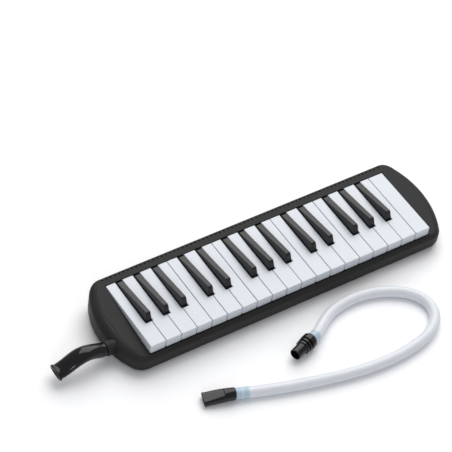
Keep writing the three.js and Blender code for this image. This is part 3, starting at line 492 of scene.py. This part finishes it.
def rounded(station_list, radius=0.35):
    """Turned profile with a small fillet at each corner: (distance, radius) pairs to stations."""
    points = [Vector((d, r, 0)) for d, r in station_list]
    out = []
    for i, here in enumerate(points):
        if i in (0, len(points) - 1):
            out.append(here)
            continue
        back, ahead = points[i - 1] - here, points[i + 1] - here
        size = min(radius, back.length * 0.45, ahead.length * 0.45)
        start, end = here + back.normalized() * size, here + ahead.normalized() * size
        for t in (0, 0.25, 0.5, 0.75, 1):
            out.append(start * (1 - t) ** 2 + here * 2 * t * (1 - t) + end * t**2)
    return [(p.x, p.y, p.y) for p in out]


# %% Plug
PLUG_LENGTH = 30.0
PLUG_BORE = 3.9
start_way = (hose_path.at(0.4) - hose_path.at(-0.4)).normalized()
plug_foot = HOSE_POINTS[0] - start_way * (PLUG_LENGTH + 0.3)
plug_path = Path([plug_foot, plug_foot + start_way * (PLUG_LENGTH + PLUG_SPIGOT)])
SPIGOT = (box("mouthpiece_seal")[1].y - box("mouthpiece_seal")[0].y) / 2 - 0.1
plug_outside = rounded([
    (0.0, 5.7), (0.0, SPIGOT - 0.2), (12.6, SPIGOT), (12.9, 8.1), (15.4, 8.2), (15.7, 6.4),
    (16.8, 6.4), (17.1, 8.5), (19.6, 8.6), (19.9, 6.6), (21.2, 6.6), (21.5, 8.9), (27.0, 8.9),
    (28.6, 8.2), (PLUG_LENGTH, 6.9), (PLUG_LENGTH, HOSE_BORE - 0.2),
    (PLUG_LENGTH + PLUG_SPIGOT, HOSE_BORE - 0.3), (PLUG_LENGTH + PLUG_SPIGOT, PLUG_BORE - 0.3)])
plug_bore = [(at, radius, radius) for at, radius in (
    (0.0, 5.3), (1.0, 5.0), (26.0, 4.6), (29.0, 3.4), (PLUG_LENGTH + PLUG_SPIGOT, 3.3))]
plug_mesh = to_mesh(swept(plug_path, plug_outside, plug_bore), "hose_plug")
add_piece("hose_plug", plug_mesh, "hose_set", "gloss_black", ["hose_adapter"])
print(len(plug_mesh.polygons), "faces in the plug")

# %% Flat mouthpiece of the hose
LIP_LENGTH = 34.0
LIP_REST = 4.0
end_way = (hose_path.at(hose_path.length) - hose_path.at(hose_path.length - 0.8)).normalized()
lip_start = HOSE_POINTS[-1] + end_way * 0.3
lip_bend = lip_start + end_way * LIP_LENGTH / 3
lip_end = lip_start + end_way * LIP_LENGTH
lip_end.z = LIP_REST
lip_points = [lip_start - end_way * MOUTH_SPIGOT]
for i in range(25):
    t = i / 24
    lip_points.append(lip_start * (1 - t) ** 2 + lip_bend * 2 * t * (1 - t) + lip_end * t**2)
lip_path = Path(lip_points)
lip_outside = [
    (0.0, 4.0, 4.0), (0.3, 4.4, 4.4), (MOUTH_SPIGOT - 7.6, 4.4, 4.4),
    (MOUTH_SPIGOT - 7.0, 4.65, 4.65),
    (MOUTH_SPIGOT - 6.4, 4.4, 4.4), (MOUTH_SPIGOT - 0.1, 4.4, 4.4), (MOUTH_SPIGOT, 6.4, 6.4),
    (MOUTH_SPIGOT + 0.5, 6.9, 6.9), (MOUTH_SPIGOT + 2, 7.0, 6.9), (MOUTH_SPIGOT + 9, 7.1, 6.3, 0.85),
    (MOUTH_SPIGOT + 11, 7.2, 5.9, 0.75), (MOUTH_SPIGOT + 11.6, 7.3, 5.0, 0.65),
    (MOUTH_SPIGOT + 14, 7.4, 4.7, 0.55), (MOUTH_SPIGOT + 22, 7.7, 4.1, 0.5),
    (lip_path.length - 2.6, 7.9, 3.5, 0.5), (lip_path.length - 1.8, 8.2, 3.7, 0.5),
    (lip_path.length - 0.5, 8.2, 3.7, 0.5), (lip_path.length, 7.8, 3.3, 0.5)]
lip_bore = [
    (0.0, 3.4, 3.4), (MOUTH_SPIGOT + 9, 4.4, 3.9, 0.9), (MOUTH_SPIGOT + 16, 6.0, 3.2, 0.6),
    (lip_path.length - 1, 6.8, 2.3, 0.5), (lip_path.length, 7.0, 2.5, 0.5)]
lip_mesh = to_mesh(swept(lip_path, lip_outside, lip_bore, 64), "hose_lip_piece")
lip_piece = add_piece("hose_lip_piece", lip_mesh, "hose_set", "gloss_black", ["hose_mouthpiece"])
print(len(lip_mesh.polygons), "faces in the flat mouthpiece")

# %% The hose's route in metres
hose_route = [tuple(point * MM) for point in hose_path.points]

# %% [markdown]
# ## The case
# The case is two plastic halves. Its top slopes down towards the player, its ends bulge, and the
# rounding along its edge is wide at the ends and narrow at the back. A stack of rings that all have
# the same points can follow that: every ring is the outline moved inwards by its own amount, and that
# amount may depend on which way the outline faces. A bevel modifier could not change its width so.

# %% Sizes taken from the parts
upper_low, upper_high = box("upper_case")
first_key, last_key = box("white_key_01"), box("white_key_19")
KEY_LEFT, KEY_FRONT, KEY_BOTTOM = first_key[0].x, first_key[0].y, 23.4
KEY_RIGHT, KEY_TOP = last_key[1].x, last_key[1].z
corners = [vertex.co / MM for vertex in frame["nodes"]["white_key_19"].data.vertices]
top_points = [corner for corner in corners if corner.z > KEY_TOP - 0.1]
KEY_REAR = max(point.y for point in top_points)     # the web behind it lies lower, under the case
HALF_LENGTH, HALF_DEPTH = upper_high.x, upper_high.y
SLOPE = (KEY_TOP - KEY_BOTTOM) / (KEY_REAR - KEY_FRONT)
SEAM = upper_low.z
WALL = 2.5
END_RADIUS, CORNER_RADIUS = 95.0, 19.0
END_ROUND, FRONT_ROUND, REAR_ROUND = 8.4, 4.3, 2.2
SHOULDER = math.radians(20)     # where the rounding starts, so that a soft crease is left on top
BASE_ROUND = 9.0
AXIS_Y, AXIS_Z = -17.65, 17.2   # the air way at the left end
print("case", round(2 * HALF_LENGTH, 1), "by", round(2 * HALF_DEPTH, 1), "mm")


# %% Outline of the case
def case_outline():
    """Points of the outline with the direction that each faces, anticlockwise."""
    end = HALF_LENGTH - END_RADIUS
    corner_y = HALF_DEPTH - CORNER_RADIUS
    corner_x = end + math.sqrt((END_RADIUS - CORNER_RADIUS) ** 2 - corner_y**2)
    swing = math.atan2(corner_y, corner_x - end)
    half = math.pi / 2
    arcs = [
        (end, 0, END_RADIUS, -swing, swing, 28),
        (corner_x, corner_y, CORNER_RADIUS, swing, half, 16),
        (-corner_x, corner_y, CORNER_RADIUS, half, math.pi - swing, 16),
        (-end, 0, END_RADIUS, math.pi - swing, math.pi + swing, 28),
        (-corner_x, -corner_y, CORNER_RADIUS, math.pi + swing, 3 * half, 16),
        (corner_x, -corner_y, CORNER_RADIUS, -half, -swing, 16),
    ]
    points = []
    for i, (x, y, radius, start, stop, steps) in enumerate(arcs):
        for k in range(steps + (i in (1, 4))):
            angle = start + (stop - start) * k / steps
            facing = Vector((math.cos(angle), math.sin(angle), 0))
            points.append((Vector((x, y, 0)) + facing * radius, facing))
        if i in (1, 4):
            here, facing = points[-1]
            for k in range(1, 60):
                points.append((here - Vector((2 * here.x * k / 60, 0, 0)), facing))
    return points


OUTLINE = case_outline()


def top_height(y):
    return KEY_TOP + (y - KEY_REAR) * SLOPE


def rounding(facing):
    across = facing.x**2
    return END_ROUND * across + (REAR_ROUND if facing.y > 0 else FRONT_ROUND) * (1 - across)


def outline_ring(inset, height):
    """A ring whose inset and height are numbers, or depend on the way the outline faces."""
    ring = []
    for point, facing in OUTLINE:
        place = point - facing * (inset(facing) if callable(inset) else inset)
        place.z = height(place.y, facing) if callable(height) else height
        ring.append(place)
    return ring


print(len(OUTLINE), "points round the case")

# %% Upper half
KEY_SLIT = 0.8          # between the keys and the edge of their opening
OPENING = (KEY_LEFT - KEY_SLIT, KEY_RIGHT + KEY_SLIT, KEY_FRONT - KEY_SLIT, KEY_REAR + 0.5)


def opening_ring(growth, depth):
    """The outline drawn onto the rectangle of the key opening."""
    left, right, front, rear = OPENING
    ring = []
    for point, _ in OUTLINE:
        x = min(max(point.x, left - growth), right + growth)
        y = min(max(point.y, front - growth), rear + growth)
        ring.append(Vector((x, y, top_height(y) - depth)))
    return ring


def upper_half():
    rings = [
        outline_ring(0.25, SEAM),
        outline_ring(0.0, SEAM + 0.25),
        outline_ring(0.0, SEAM + 1.5),
    ]
    steps = 9
    for i in range(steps + 1):
        angle = math.pi / 2 + (SHOULDER - math.pi / 2) * i / steps
        outward = (math.sin(angle) - math.sin(SHOULDER)) / (1 - math.sin(SHOULDER))
        drop = (math.cos(SHOULDER) - math.cos(angle)) / math.cos(SHOULDER)
        rings.append(outline_ring(
            lambda facing: rounding(facing) * (1 - outward),
            lambda y, facing: top_height(y) - rounding(facing) * drop))
    rings += [
        outline_ring(lambda facing: rounding(facing) + 0.2, lambda y, facing: top_height(y)),
        outline_ring(lambda facing: rounding(facing) + 0.4, lambda y, facing: top_height(y)),
        opening_ring(0.9, 0.0), opening_ring(0.45, 0.0), opening_ring(0.3, 0.0), opening_ring(0.14, 0.04),
        opening_ring(0.04, 0.14), opening_ring(0.0, 0.3), opening_ring(0.0, WALL + 1.5),
        outline_ring(
            lambda facing: rounding(facing) + 0.35, lambda y, facing: top_height(y) - WALL - 1.5),
        outline_ring(WALL, lambda y, facing: top_height(y) - rounding(facing) - WALL - 1.5),
        outline_ring(WALL, SEAM),
    ]
    return skin(rings, closed=True)


# %% Lower half
def lower_half():
    top = SEAM - 0.3
    rings = []
    for i in range(9):
        angle = math.pi / 2 * (1 - i / 8)
        inner = BASE_ROUND - WALL
        rings.append(outline_ring(
            WALL + inner * (1 - math.cos(angle)), WALL + inner * (1 - math.sin(angle))))
    rings += [outline_ring(WALL, top), outline_ring(0.25, top), outline_ring(0.02, top - 0.25)]
    for i in range(1, 13):
        angle = math.pi / 2 * i / 12
        rings.append(outline_ring(
            BASE_ROUND * (1 - math.cos(angle)), BASE_ROUND * (1 - math.sin(angle))))
    return skin(rings, closed=False)


print("case rings ready")

# %% [markdown]
# ### Vents, holes and the groove
# Along the rear edge runs a row of short vents. They repeat, so a geometry tree makes one cutter and
# sets it along a line; its sizes are inputs of the tree. A boolean takes the row out of the upper
# half, together with the holes for the mouthpiece's socket and for the drain button.


# %% A geometry tree with named inputs
def geometry_tree(name, sizes):
    """An empty tree with a float or integer input for each size, and its wires by name."""
    group = bpy.data.node_groups.new(name, "GeometryNodeTree")
    group.interface.new_socket(name="Geometry", in_out="OUTPUT", socket_type="NodeSocketGeometry")
    for label, value in sizes.items():
        kind = "NodeSocketInt" if isinstance(value, int) else "NodeSocketFloat"
        socket = group.interface.new_socket(name=label, in_out="INPUT", socket_type=kind)
        socket.default_value = value
    tree = Tree(group)
    start = tree.add("NodeGroupInput")
    wires = {label: Wire(tree, start.node, start.node.outputs[label]) for label in sizes}
    return tree, wires


def close_tree(tree, geometry, material):
    """Ends a tree in real faces with a material."""
    real = tree.add("GeometryNodeRealizeInstances", None, {"Geometry": geometry})
    done = tree.add("GeometryNodeSetMaterial", None, {"Geometry": real, "Material": material})
    tree.add("NodeGroupOutput", None, {0: done})


def grow(tree, name, sizes):
    """Runs a tree on an empty mesh and gives back the plain mesh that it makes."""
    carrier = bpy.data.objects.new(name, bpy.data.meshes.new(name))
    bpy.context.collection.objects.link(carrier)
    modifier = carrier.modifiers.new(name, "NODES")
    modifier.node_group = tree.nodes
    for item in tree.nodes.interface.items_tree:
        if item.in_out == "INPUT" and item.name in sizes:
            modifier[item.identifier] = sizes[item.name]
    ready = carrier.evaluated_get(bpy.context.evaluated_depsgraph_get())
    mesh = bpy.data.meshes.new_from_object(ready)
    bpy.data.objects.remove(carrier)
    mesh.name = name
    return mesh


# %% Row of vent cutters
VENTS_FROM_REAR = 3.4
VENT_SIZES = {"Count": 69, "Pitch": 5.3, "Length": 2.4, "Width": 1.3, "Depth": 12.0}


def vent_tree():
    tree, size = geometry_tree("vent_row", VENT_SIZES)
    box_size = tree.add("ShaderNodeCombineXYZ", None, {
        0: size["Length"] * MM, 1: size["Width"] * MM, 2: size["Depth"] * MM})
    one = tree.add("GeometryNodeMeshCube", None, {"Size": box_size})
    step = tree.add("ShaderNodeCombineXYZ", None, {0: size["Pitch"] * MM})
    line = tree.add("GeometryNodeMeshLine", None, {"Count": size["Count"], "Offset": step})
    row = tree.add("GeometryNodeInstanceOnPoints", None, {"Points": line, "Instance": one})
    close_tree(tree, row, finishes["case_plastic"])
    return tree


vent_row = grow(vent_tree(), "vent_row", VENT_SIZES)
vent_span = (VENT_SIZES["Count"] - 1) * VENT_SIZES["Pitch"]
vent_row.transform(Matrix.Translation(Vector((-vent_span / 2, HALF_DEPTH - VENTS_FROM_REAR, KEY_TOP)) * MM))
print(len(vent_row.polygons) // 6, "vents")


# %% Carving
def rod(start, end, radius, count=40):
    """A plain round cutter between two points that differ mostly in X or Z."""
    along = (end - start).normalized()
    side = along.cross(UP if abs(along.z) < 0.9 else Vector((0, 1, 0))).normalized()
    top = side.cross(along)
    turns = [2 * math.pi * i / count for i in range(count)]
    rings = [
        [centre + side * radius * math.cos(a) + top * radius * math.sin(a) for a in turns]
        for centre in (start, end)]
    return to_mesh(skin(rings, closed=False), "rod")


def carve(mesh, cutters):
    """Takes the cutter meshes out of a mesh and returns the result."""
    target = bpy.data.objects.new("target", mesh)
    bpy.context.collection.objects.link(target)
    tools = []
    for cutter in cutters:
        tool = bpy.data.objects.new("tool", cutter)
        bpy.context.collection.objects.link(tool)
        modifier = target.modifiers.new("cut", "BOOLEAN")
        modifier.object, modifier.operation, modifier.solver = tool, "DIFFERENCE", "EXACT"
        tools.append(tool)
    ready = target.evaluated_get(bpy.context.evaluated_depsgraph_get())
    result = bpy.data.meshes.new_from_object(ready)
    for used in (target, *tools):
        bpy.data.objects.remove(used)
    smooth(result)
    return result


# %% Groove and end holes
DRAIN_Y, DRAIN_Z = (sum(corner[i] for corner in box("drain_button")) / 2 for i in (1, 2))
GROOVE = [(-189.4, 48.1), (-194.9, 36.9), (-200.1, 11.8), (-199.3, -6.1), (-199.3, -17.7),
          (-195.7, -31.9), (-190.0, -45.0)]


def groove():
    """A thin round cutter that lies along the top of the left end."""
    line = Path(smooth_line([Vector((x, y, top_height(y) + 0.2)) for x, y in GROOVE], 8))
    rings = [line.ring(line.length * i / 64, 0.5, 0.5, 10) for i in range(65)]
    return to_mesh(skin(rings, closed=False), "groove")


def socket_hole():
    return rod(Vector((-250, AXIS_Y, AXIS_Z)), Vector((-186, AXIS_Y, AXIS_Z)), 8.6)


def button_hole():
    return rod(Vector((192, DRAIN_Y, DRAIN_Z)), Vector((240, DRAIN_Y, DRAIN_Z)), 5.3)


cutters = [vent_row, groove(), socket_hole(), button_hole()]
upper_mesh = carve(to_mesh(upper_half(), "case_upper_shell"), cutters)
upper_mesh.name = "case_upper_shell"
flat_way = Vector((0, -SLOPE, 1)).normalized()      # the sloping top has to shade as one plane
for face in upper_mesh.polygons:
    face.use_smooth = face.normal.dot(flat_way) < 0.9999
add_piece("case_upper_shell", upper_mesh, "case", "case_plastic", ["upper_case"])
print(len(upper_mesh.polygons), "faces in the upper half")

# %% [markdown]
# ### Screws
# Six screws hold the halves and the wind chest from below. One screw is turned from rings and given
# a cross recess; a geometry tree then sets it on a point for each place.


# %% Screw places and their holes
screw_names = [f"case_screw_{i:02d}" for i in range(1, 5)] + ["chest_screw_01", "chest_screw_02"]
screw_places = []
for name in screw_names:
    low, high = box(name)
    screw_places.append(((low + high) / 2, high.z - low.z))
drip_x = box("wind_chest")[1].x + 6


def base_holes():
    holes = [rod(Vector((drip_x, DRAIN_Y, -2)), Vector((drip_x, DRAIN_Y, 4)), 2.0, 24)]
    for centre, _ in screw_places:
        holes.append(rod(Vector((centre.x, centre.y, -2)), Vector((centre.x, centre.y, 2.4)), 3.3, 32))
    return holes


cutters = [*base_holes(), socket_hole(), button_hole()]
lower_mesh = carve(to_mesh(lower_half(), "case_lower_shell"), cutters)
lower_mesh.name = "case_lower_shell"
add_piece("case_lower_shell", lower_mesh, "case", "case_plastic", ["lower_case"])
print(len(lower_mesh.polygons), "faces in the lower half")


# %% Screws
def screw_mesh(length):
    head, shank = 2.9, 1.4
    profile = rounded([
        (0.0, 0.3), (0.0, head), (1.8, head), (1.8, shank), (length - 0.8, shank), (length, 0.4)], 0.25)
    turns = [2 * math.pi * i / 24 for i in range(24)]
    rings = [
        [Vector((radius * math.cos(a), radius * math.sin(a), height)) for a in turns]
        for height, radius, _ in profile]
    slots = []
    for wide, deep in ((1.6, 0.35), (0.35, 1.6)):
        slot = bmesh.new()
        bmesh.ops.create_cube(slot, size=1, matrix=Matrix.Diagonal((2 * wide, 2 * deep, 2.2, 1)))
        slots.append(to_mesh(slot, "slot"))
    return carve(to_mesh(skin(rings, closed=False), "screw"), slots)


def screw_tree(screw):
    """Sets a screw on every point of a line of two, for each pair that shares a row."""
    tree, size = geometry_tree("screw_pair", {"Spacing": 100.0, "Row": 0.0, "Foot": 0.3})
    start = tree.add("ShaderNodeCombineXYZ", None, {
        0: size["Spacing"] * (-0.5 * MM), 1: size["Row"] * MM, 2: size["Foot"] * MM})
    step = tree.add("ShaderNodeCombineXYZ", None, {0: size["Spacing"] * MM})
    line = tree.add("GeometryNodeMeshLine", None, {
        "Count": 2, "Start Location": start, "Offset": step})
    one = tree.add("GeometryNodeObjectInfo", None, {"Object": screw}, out="Geometry")
    pair = tree.add("GeometryNodeInstanceOnPoints", None, {"Points": line, "Instance": one})
    close_tree(tree, pair, finishes["steel"])
    return tree


def add_screws(name, members):
    """One piece for the screws of one length."""
    length = next(size for node, (_, size) in zip(screw_names, screw_places) if node in members)
    screw = bpy.data.objects.new("screw", screw_mesh(length))
    bpy.context.collection.objects.link(screw)
    centres = [centre for node, (centre, _) in zip(screw_names, screw_places) if node in members]
    joined = bmesh.new()
    for row in sorted({round(centre.y, 2) for centre in centres}):
        xs = [centre.x for centre in centres if abs(centre.y - row) < 0.1]
        pair = grow(screw_tree(screw), name, {"Spacing": max(xs) - min(xs), "Row": row, "Foot": 0.3})
        joined.from_mesh(pair)
    mesh = bpy.data.meshes.new(name)
    joined.to_mesh(mesh)
    bpy.data.objects.remove(screw)
    smooth(mesh)
    add_piece(name, mesh, "case", "steel", members)
    print(name, len(mesh.polygons), "faces")


add_screws("case_screws", screw_names[:4])
add_screws("chest_screws", screw_names[4:])

# %% [markdown]
# ## Keys
# Each key is one moulding with its web and valve pad, and it turns on its own body. The moulding comes
# from its CAD part: its triangles are merged into flat faces, then the edges that a finger meets are
# rounded. White keys have round front corners; black keys are rounded on every edge above the white ones.


# %% A merged copy of a part
def copy_part(node):
    shape = bmesh.new()
    shape.from_mesh(frame["nodes"][node].data)
    bmesh.ops.scale(shape, vec=(1 / MM,) * 3, verts=shape.verts)
    bmesh.ops.remove_doubles(shape, verts=shape.verts, dist=0.002)
    bmesh.ops.dissolve_limit(shape, angle_limit=math.radians(1), verts=shape.verts, edges=shape.edges)
    return shape


def round_edges(shape, radius, segments, chosen):
    """Rounds the sharp edges that the test chooses."""
    edges = []
    for edge in shape.edges:
        if len(edge.link_faces) == 2 and edge.calc_face_angle() > math.radians(8):
            a, b = (vert.co for vert in edge.verts)
            if chosen(a, b):
                edges.append(edge)
    bmesh.ops.bevel(
        shape, geom=edges, offset=radius, offset_type="OFFSET", segments=segments, profile=0.5,
        affect="EDGES", clamp_overlap=True)


# %% White keys
TINY = 0.02
white_names = [f"white_key_{i:02d}" for i in range(1, 20)]
black_names = [f"black_key_{i:02d}" for i in range(1, 14)]


def white_key(node):
    shape = copy_part(node)
    round_edges(shape, 1.3, 5, lambda a, b: (
        max(a.y, b.y) < KEY_FRONT + TINY and abs(a.x - b.x) < TINY and abs(a.z - b.z) > 5))
    round_edges(shape, 0.8, 4, lambda a, b: min(a.z, b.z) > KEY_TOP - TINY)
    return to_mesh(shape, node + "_moulding")


for node in white_names:
    add_piece(node + "_moulding", white_key(node), node, "white_plastic", [node], flat_faces=True)
print(len(white_names), "white keys")

# %% Black keys
def black_key(node):
    shape = copy_part(node)
    round_edges(shape, 0.5, 3, lambda a, b: (
        max(a.z, b.z) > KEY_TOP + 1 and min(a.z, b.z) > KEY_TOP - TINY))
    return to_mesh(shape, node + "_moulding")


for node in black_names:
    add_piece(node + "_moulding", black_key(node), node, "black_key_plastic", [node], flat_faces=True)
print(len(black_names), "black keys")

# %% [markdown]
# ## Mouthpiece and socket
# The short mouthpiece is round where it meets the socket, rises over a bend, and flattens to the lips,
# where a thin rim stands out. The socket is a matt collar that comes out of the case's rounding, with
# a narrower neck behind it.

# %% Mouthpiece
seal_low, seal_high = box("mouthpiece_seal")
socket_low, socket_high = box("mouthpiece_socket")
SPIGOT_LENGTH = 13.5
RISE = [
    (-SPIGOT_LENGTH, 0), (-SPIGOT_LENGTH / 2, 0), (0, 0), (3, 0.1), (7, 1.3), (13.5, 4.0), (23, 6.3),
    (30.5, 5.7), (37, 3.4), (45, -0.8), (52, -4.0), (59, -5.6)]
mouth_points = [Vector((socket_low.x - 0.3 - out, AXIS_Y, AXIS_Z + up)) for out, up in RISE]
mouth_path = Path(smooth_line(mouth_points, 8))


def seal_low_radius():
    """Radius of the seal's hole, less its clearance."""
    centre = Vector((0, AXIS_Y, AXIS_Z)) * MM
    near = min(
        (vertex.co - Vector((vertex.co.x, centre.y, centre.z))).length
        for vertex in frame["nodes"]["mouthpiece_seal"].data.vertices)
    return near / MM - 0.35


def mouthpiece():
    face, end = SPIGOT_LENGTH, mouth_path.length
    groove = face - 8.0
    spigot = SPIGOT - 0.1
    seat = seal_low_radius()
    outside = [
        (0.0, spigot - 0.5, spigot - 0.5), (0.8, spigot, spigot), (groove, spigot, spigot),
        (groove, seat, seat), (groove + 2.6, seat, seat), (groove + 2.6, spigot, spigot),
        (face, spigot, spigot), (face + 0.02, 7.4, 7.4), (face + 0.35, 7.7, 7.7)]
    body = smooth_line([Vector(station) for station in (
        (face + 1, 7.75, 7.75), (face + 6, 7.9, 7.9), (face + 13, 8.2, 7.8), (face + 20, 8.9, 7.4),
        (face + 26, 9.5, 7.0), (face + 33, 9.9, 6.5), (face + 41, 9.9, 5.9), (end - 3.4, 9.7, 5.3))], 6)
    outside += [tuple(station) for station in body]
    outside += [
        (end - 2.9, 9.9, 5.5), (end - 2.5, 10.5, 6.1), (end - 2.1, 10.75, 6.35), (end - 1.0, 10.8, 6.4),
        (end - 0.4, 10.7, 6.3), (end, 10.3, 5.9)]
    bore = smooth_line([Vector(station) for station in (
        (0, 4.2, 4.2), (face, 4.5, 4.5), (face + 9, 5.4, 5.4), (face + 20, 6.8, 5.4),
        (face + 26, 7.5, 5.2), (face + 33, 8.1, 4.8), (end - 5, 8.3, 4.1), (end - 0.6, 8.6, 4.3))], 4)
    bore = [tuple(station) for station in bore] + [(end - 0.2, 8.8, 4.5), (end, 9.3, 4.9)]
    return to_mesh(swept(mouth_path, outside, bore, 64), "mouthpiece_moulding")


add_piece("mouthpiece_moulding", mouthpiece(), "mouthpiece", "gloss_black", ["mouthpiece"])
print("mouthpiece", round(mouth_path.length, 1), "mm along its middle")

# %% Socket
BORE = (seal_high.y - seal_low.y) / 2 + 0.3


def socket():
    face, back = socket_low.x, socket_high.x
    path = Path([Vector((face, AXIS_Y, AXIS_Z)), Vector((back, AXIS_Y, AXIS_Z))])
    length = back - face
    outside = rounded([
        (0.0, BORE + 0.4), (0.0, 8.5), (6.0, 8.5), (6.3, 7.9), (length - 2.2, 7.9), (length - 2.0, 8.5),
        (length, 8.5), (length, 5.0)], 0.3)
    bore = [(0.0, BORE, BORE), (14.1, BORE, BORE), (14.1, 4.6, 4.6), (length, 4.6, 4.6)]
    return to_mesh(swept(path, outside, bore, 64), "mouthpiece_collar")


add_piece("mouthpiece_collar", socket(), "case", "case_plastic", ["mouthpiece_socket"])

# %% [markdown]
# ## Springs
# Under the keys lies a comb of leaf springs, one finger for each key, and a coil spring pushes the
# drain button out. A finger has to give way as its key goes down, and the coil gets shorter, so each
# is a piece of its own.

# %% Leaf springs
comb_low, comb_high = box("key_springs")
PIVOT_Y = sum(box("pivot_rod")[i].y for i in (0, 1)) / 2
key_middles = sorted(
    (sum(point.co.x for point in picked) / len(picked) / MM, node)
    for node in white_names + black_names
    for picked in [[v for v in frame["nodes"][node].data.vertices if v.co.y > (PIVOT_Y + 12) * MM]])


def leaf(x):
    """A thin finger that rises from the strip to the underside of its key."""
    half, thick = 1.3, 0.4
    root, tip = PIVOT_Y - 13, comb_low.y
    rings = []
    for i in range(13):
        t = i / 12
        y = root + (tip - root) * t
        z = comb_low.z + (comb_high.z - comb_low.z - thick) * (1.15 * t - 0.15 * t**3)
        z = min(z, comb_high.z - thick)
        rings.append([
            Vector((x - half, y, z)), Vector((x + half, y, z)),
            Vector((x + half, y, z + thick)), Vector((x - half, y, z + thick))])
    return to_mesh(skin(rings, closed=False), "leaf")


strip = bmesh.new()
bmesh.ops.create_cube(strip, size=1, matrix=Matrix.Translation(Vector((
    (comb_low.x + comb_high.x) / 2, PIVOT_Y - 11, comb_low.z + 0.2))) @ Matrix.Diagonal((
        comb_high.x - comb_low.x, 4.0, 0.4, 1)))
add_piece("spring_strip", to_mesh(strip, "spring_strip"), "case", "steel", ["key_springs"])
for i, (x, node) in enumerate(key_middles):
    name = f"spring_leaf_{i + 1:02d}"
    mesh = leaf(x)
    mesh.name = name
    finger = add_piece(name, mesh, "case", "steel")
    node + "_press"
    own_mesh(finger)
print(len(key_middles), "leaf springs")

# %% Coil spring and drain button
coil_low, coil_high = box("drain_spring")


def coil():
    turns, radius, wire = 6, 3.0, 0.45
    points = []
    for i in range(turns * 20 + 1):
        angle = 2 * math.pi * i / 20
        x = coil_low.x + wire + (coil_high.x - coil_low.x - 2 * wire) * i / (turns * 20)
        points.append(Vector((x, DRAIN_Y + radius * math.cos(angle), DRAIN_Z + radius * math.sin(angle))))
    rings = []
    for i, here in enumerate(points):
        along = (points[min(i + 1, len(points) - 1)] - points[max(i - 1, 0)]).normalized()
        outward = Vector((0, here.y - DRAIN_Y, here.z - DRAIN_Z)).normalized()
        across = along.cross(outward)
        rings.append([here + (outward * math.cos(a) + across * math.sin(a)) * wire
                      for a in (2 * math.pi * k / 8 for k in range(8))])
    return to_mesh(skin(rings, closed=False), "drain_coil", 60)


drain_coil = add_piece("drain_coil", coil(), "case", "steel", ["drain_spring"])
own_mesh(drain_coil)
button_low, button_high = box("drain_button")


def drain_button():
    seat = box("drain_seal")[0].x - 1.8
    start = button_low.x
    cap = coil_high.x + 0.3
    path = Path([Vector((start, DRAIN_Y, DRAIN_Z)), Vector((button_high.x, DRAIN_Y, DRAIN_Z))])
    end = button_high.x - start
    profile = rounded([
        (0.0, 0.3), (0.0, 2.0), (1.4, 2.0), (1.4, 1.5), (cap - start, 1.5), (cap - start, 5.9),
        (cap - start + 1.5, 5.9), (cap - start + 1.5, 5.0), (end - 0.2, 5.0), (end, 3.6),
        (end - 0.5, 0.3)], 0.4)
    rings = [path.ring(*station, 40) for station in profile]
    return to_mesh(skin(rings, closed=False), "drain_button_moulding")


add_piece("drain_button_moulding", drain_button(), "drain_valve", "case_plastic", ["drain_button"])
print("drain valve ready")

# %% [markdown]
# ## Parts that stay as they are
# The rod, rail, chest, reed plates, felt, duct and seals have their right shape already. They only
# need their finish.

# %% Finish the remaining parts
slots = {part["node"]: part["material_slot"] for part in frame["record"]["subparts"]}
kept = 0
for name, part in frame["nodes"].items():
    part.data.materials.clear()
    part.data.materials.append(finishes[slots[name]])
    kept += not part.hide_render
print(kept, "parts keep their own shape")

# %% [markdown]
# ## Floor and light
# A plain pale floor, one large soft light above and behind, a weaker one from the front, and an even
# sky. Black keys look grey on top only because they mirror the large light.

# %% Floor
floor_shape = bmesh.new()
bmesh.ops.create_grid(floor_shape, x_segments=4, y_segments=4, size=4000)
floor = bpy.data.objects.new("floor", to_mesh(floor_shape, "floor"))
floor.data.transform(Matrix.Translation((0, 0, -0.0002)))
bpy.context.collection.objects.link(floor)
floor.data.materials.append(plastic("pale_floor", (0.97, 0.97, 0.975), 0.6, 1.0, 0.002, tint=0.004))
floor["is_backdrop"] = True


# %% Lights
def soft_light(name, place, target, size, power):
    data = bpy.data.lights.new(name, "AREA")
    data.shape, data.size, data.energy = "SQUARE", size, power
    light = bpy.data.objects.new(name, data)
    aim = (Vector(target) - Vector(place)).to_track_quat("-Z", "Y")
    light.matrix_world = Matrix.Translation(place) @ aim.to_matrix().to_4x4()
    bpy.context.collection.objects.link(light)
    return light


soft_light("light_above", (0.9, 1.1, 1.9), (0, 0, 0), 2.5, 54)
front = soft_light("light_front", (-1.0, -1.3, 0.8), (0, 0, 0), 0.25, 3)
front.data.color = (0.78, 0.87, 1.0)
world = bpy.data.worlds.new("studio")
world.use_nodes = True
world.node_tree.nodes["Background"].inputs["Color"].default_value = (1, 1, 1, 1)
world.node_tree.nodes["Background"].inputs["Strength"].default_value = 0.5
bpy.context.scene.world = world
bpy.context.scene.view_settings.view_transform = "Standard"
print("two lights and a sky")

# %% [markdown]
# ## Size
# The size of the visual model is printed at the end. The visual model has to stay inside the CAD
# box.

# %% Sizes and the last line
low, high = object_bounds()
print("size", [round(v * 1000, 1) for v in high - low], "mm")
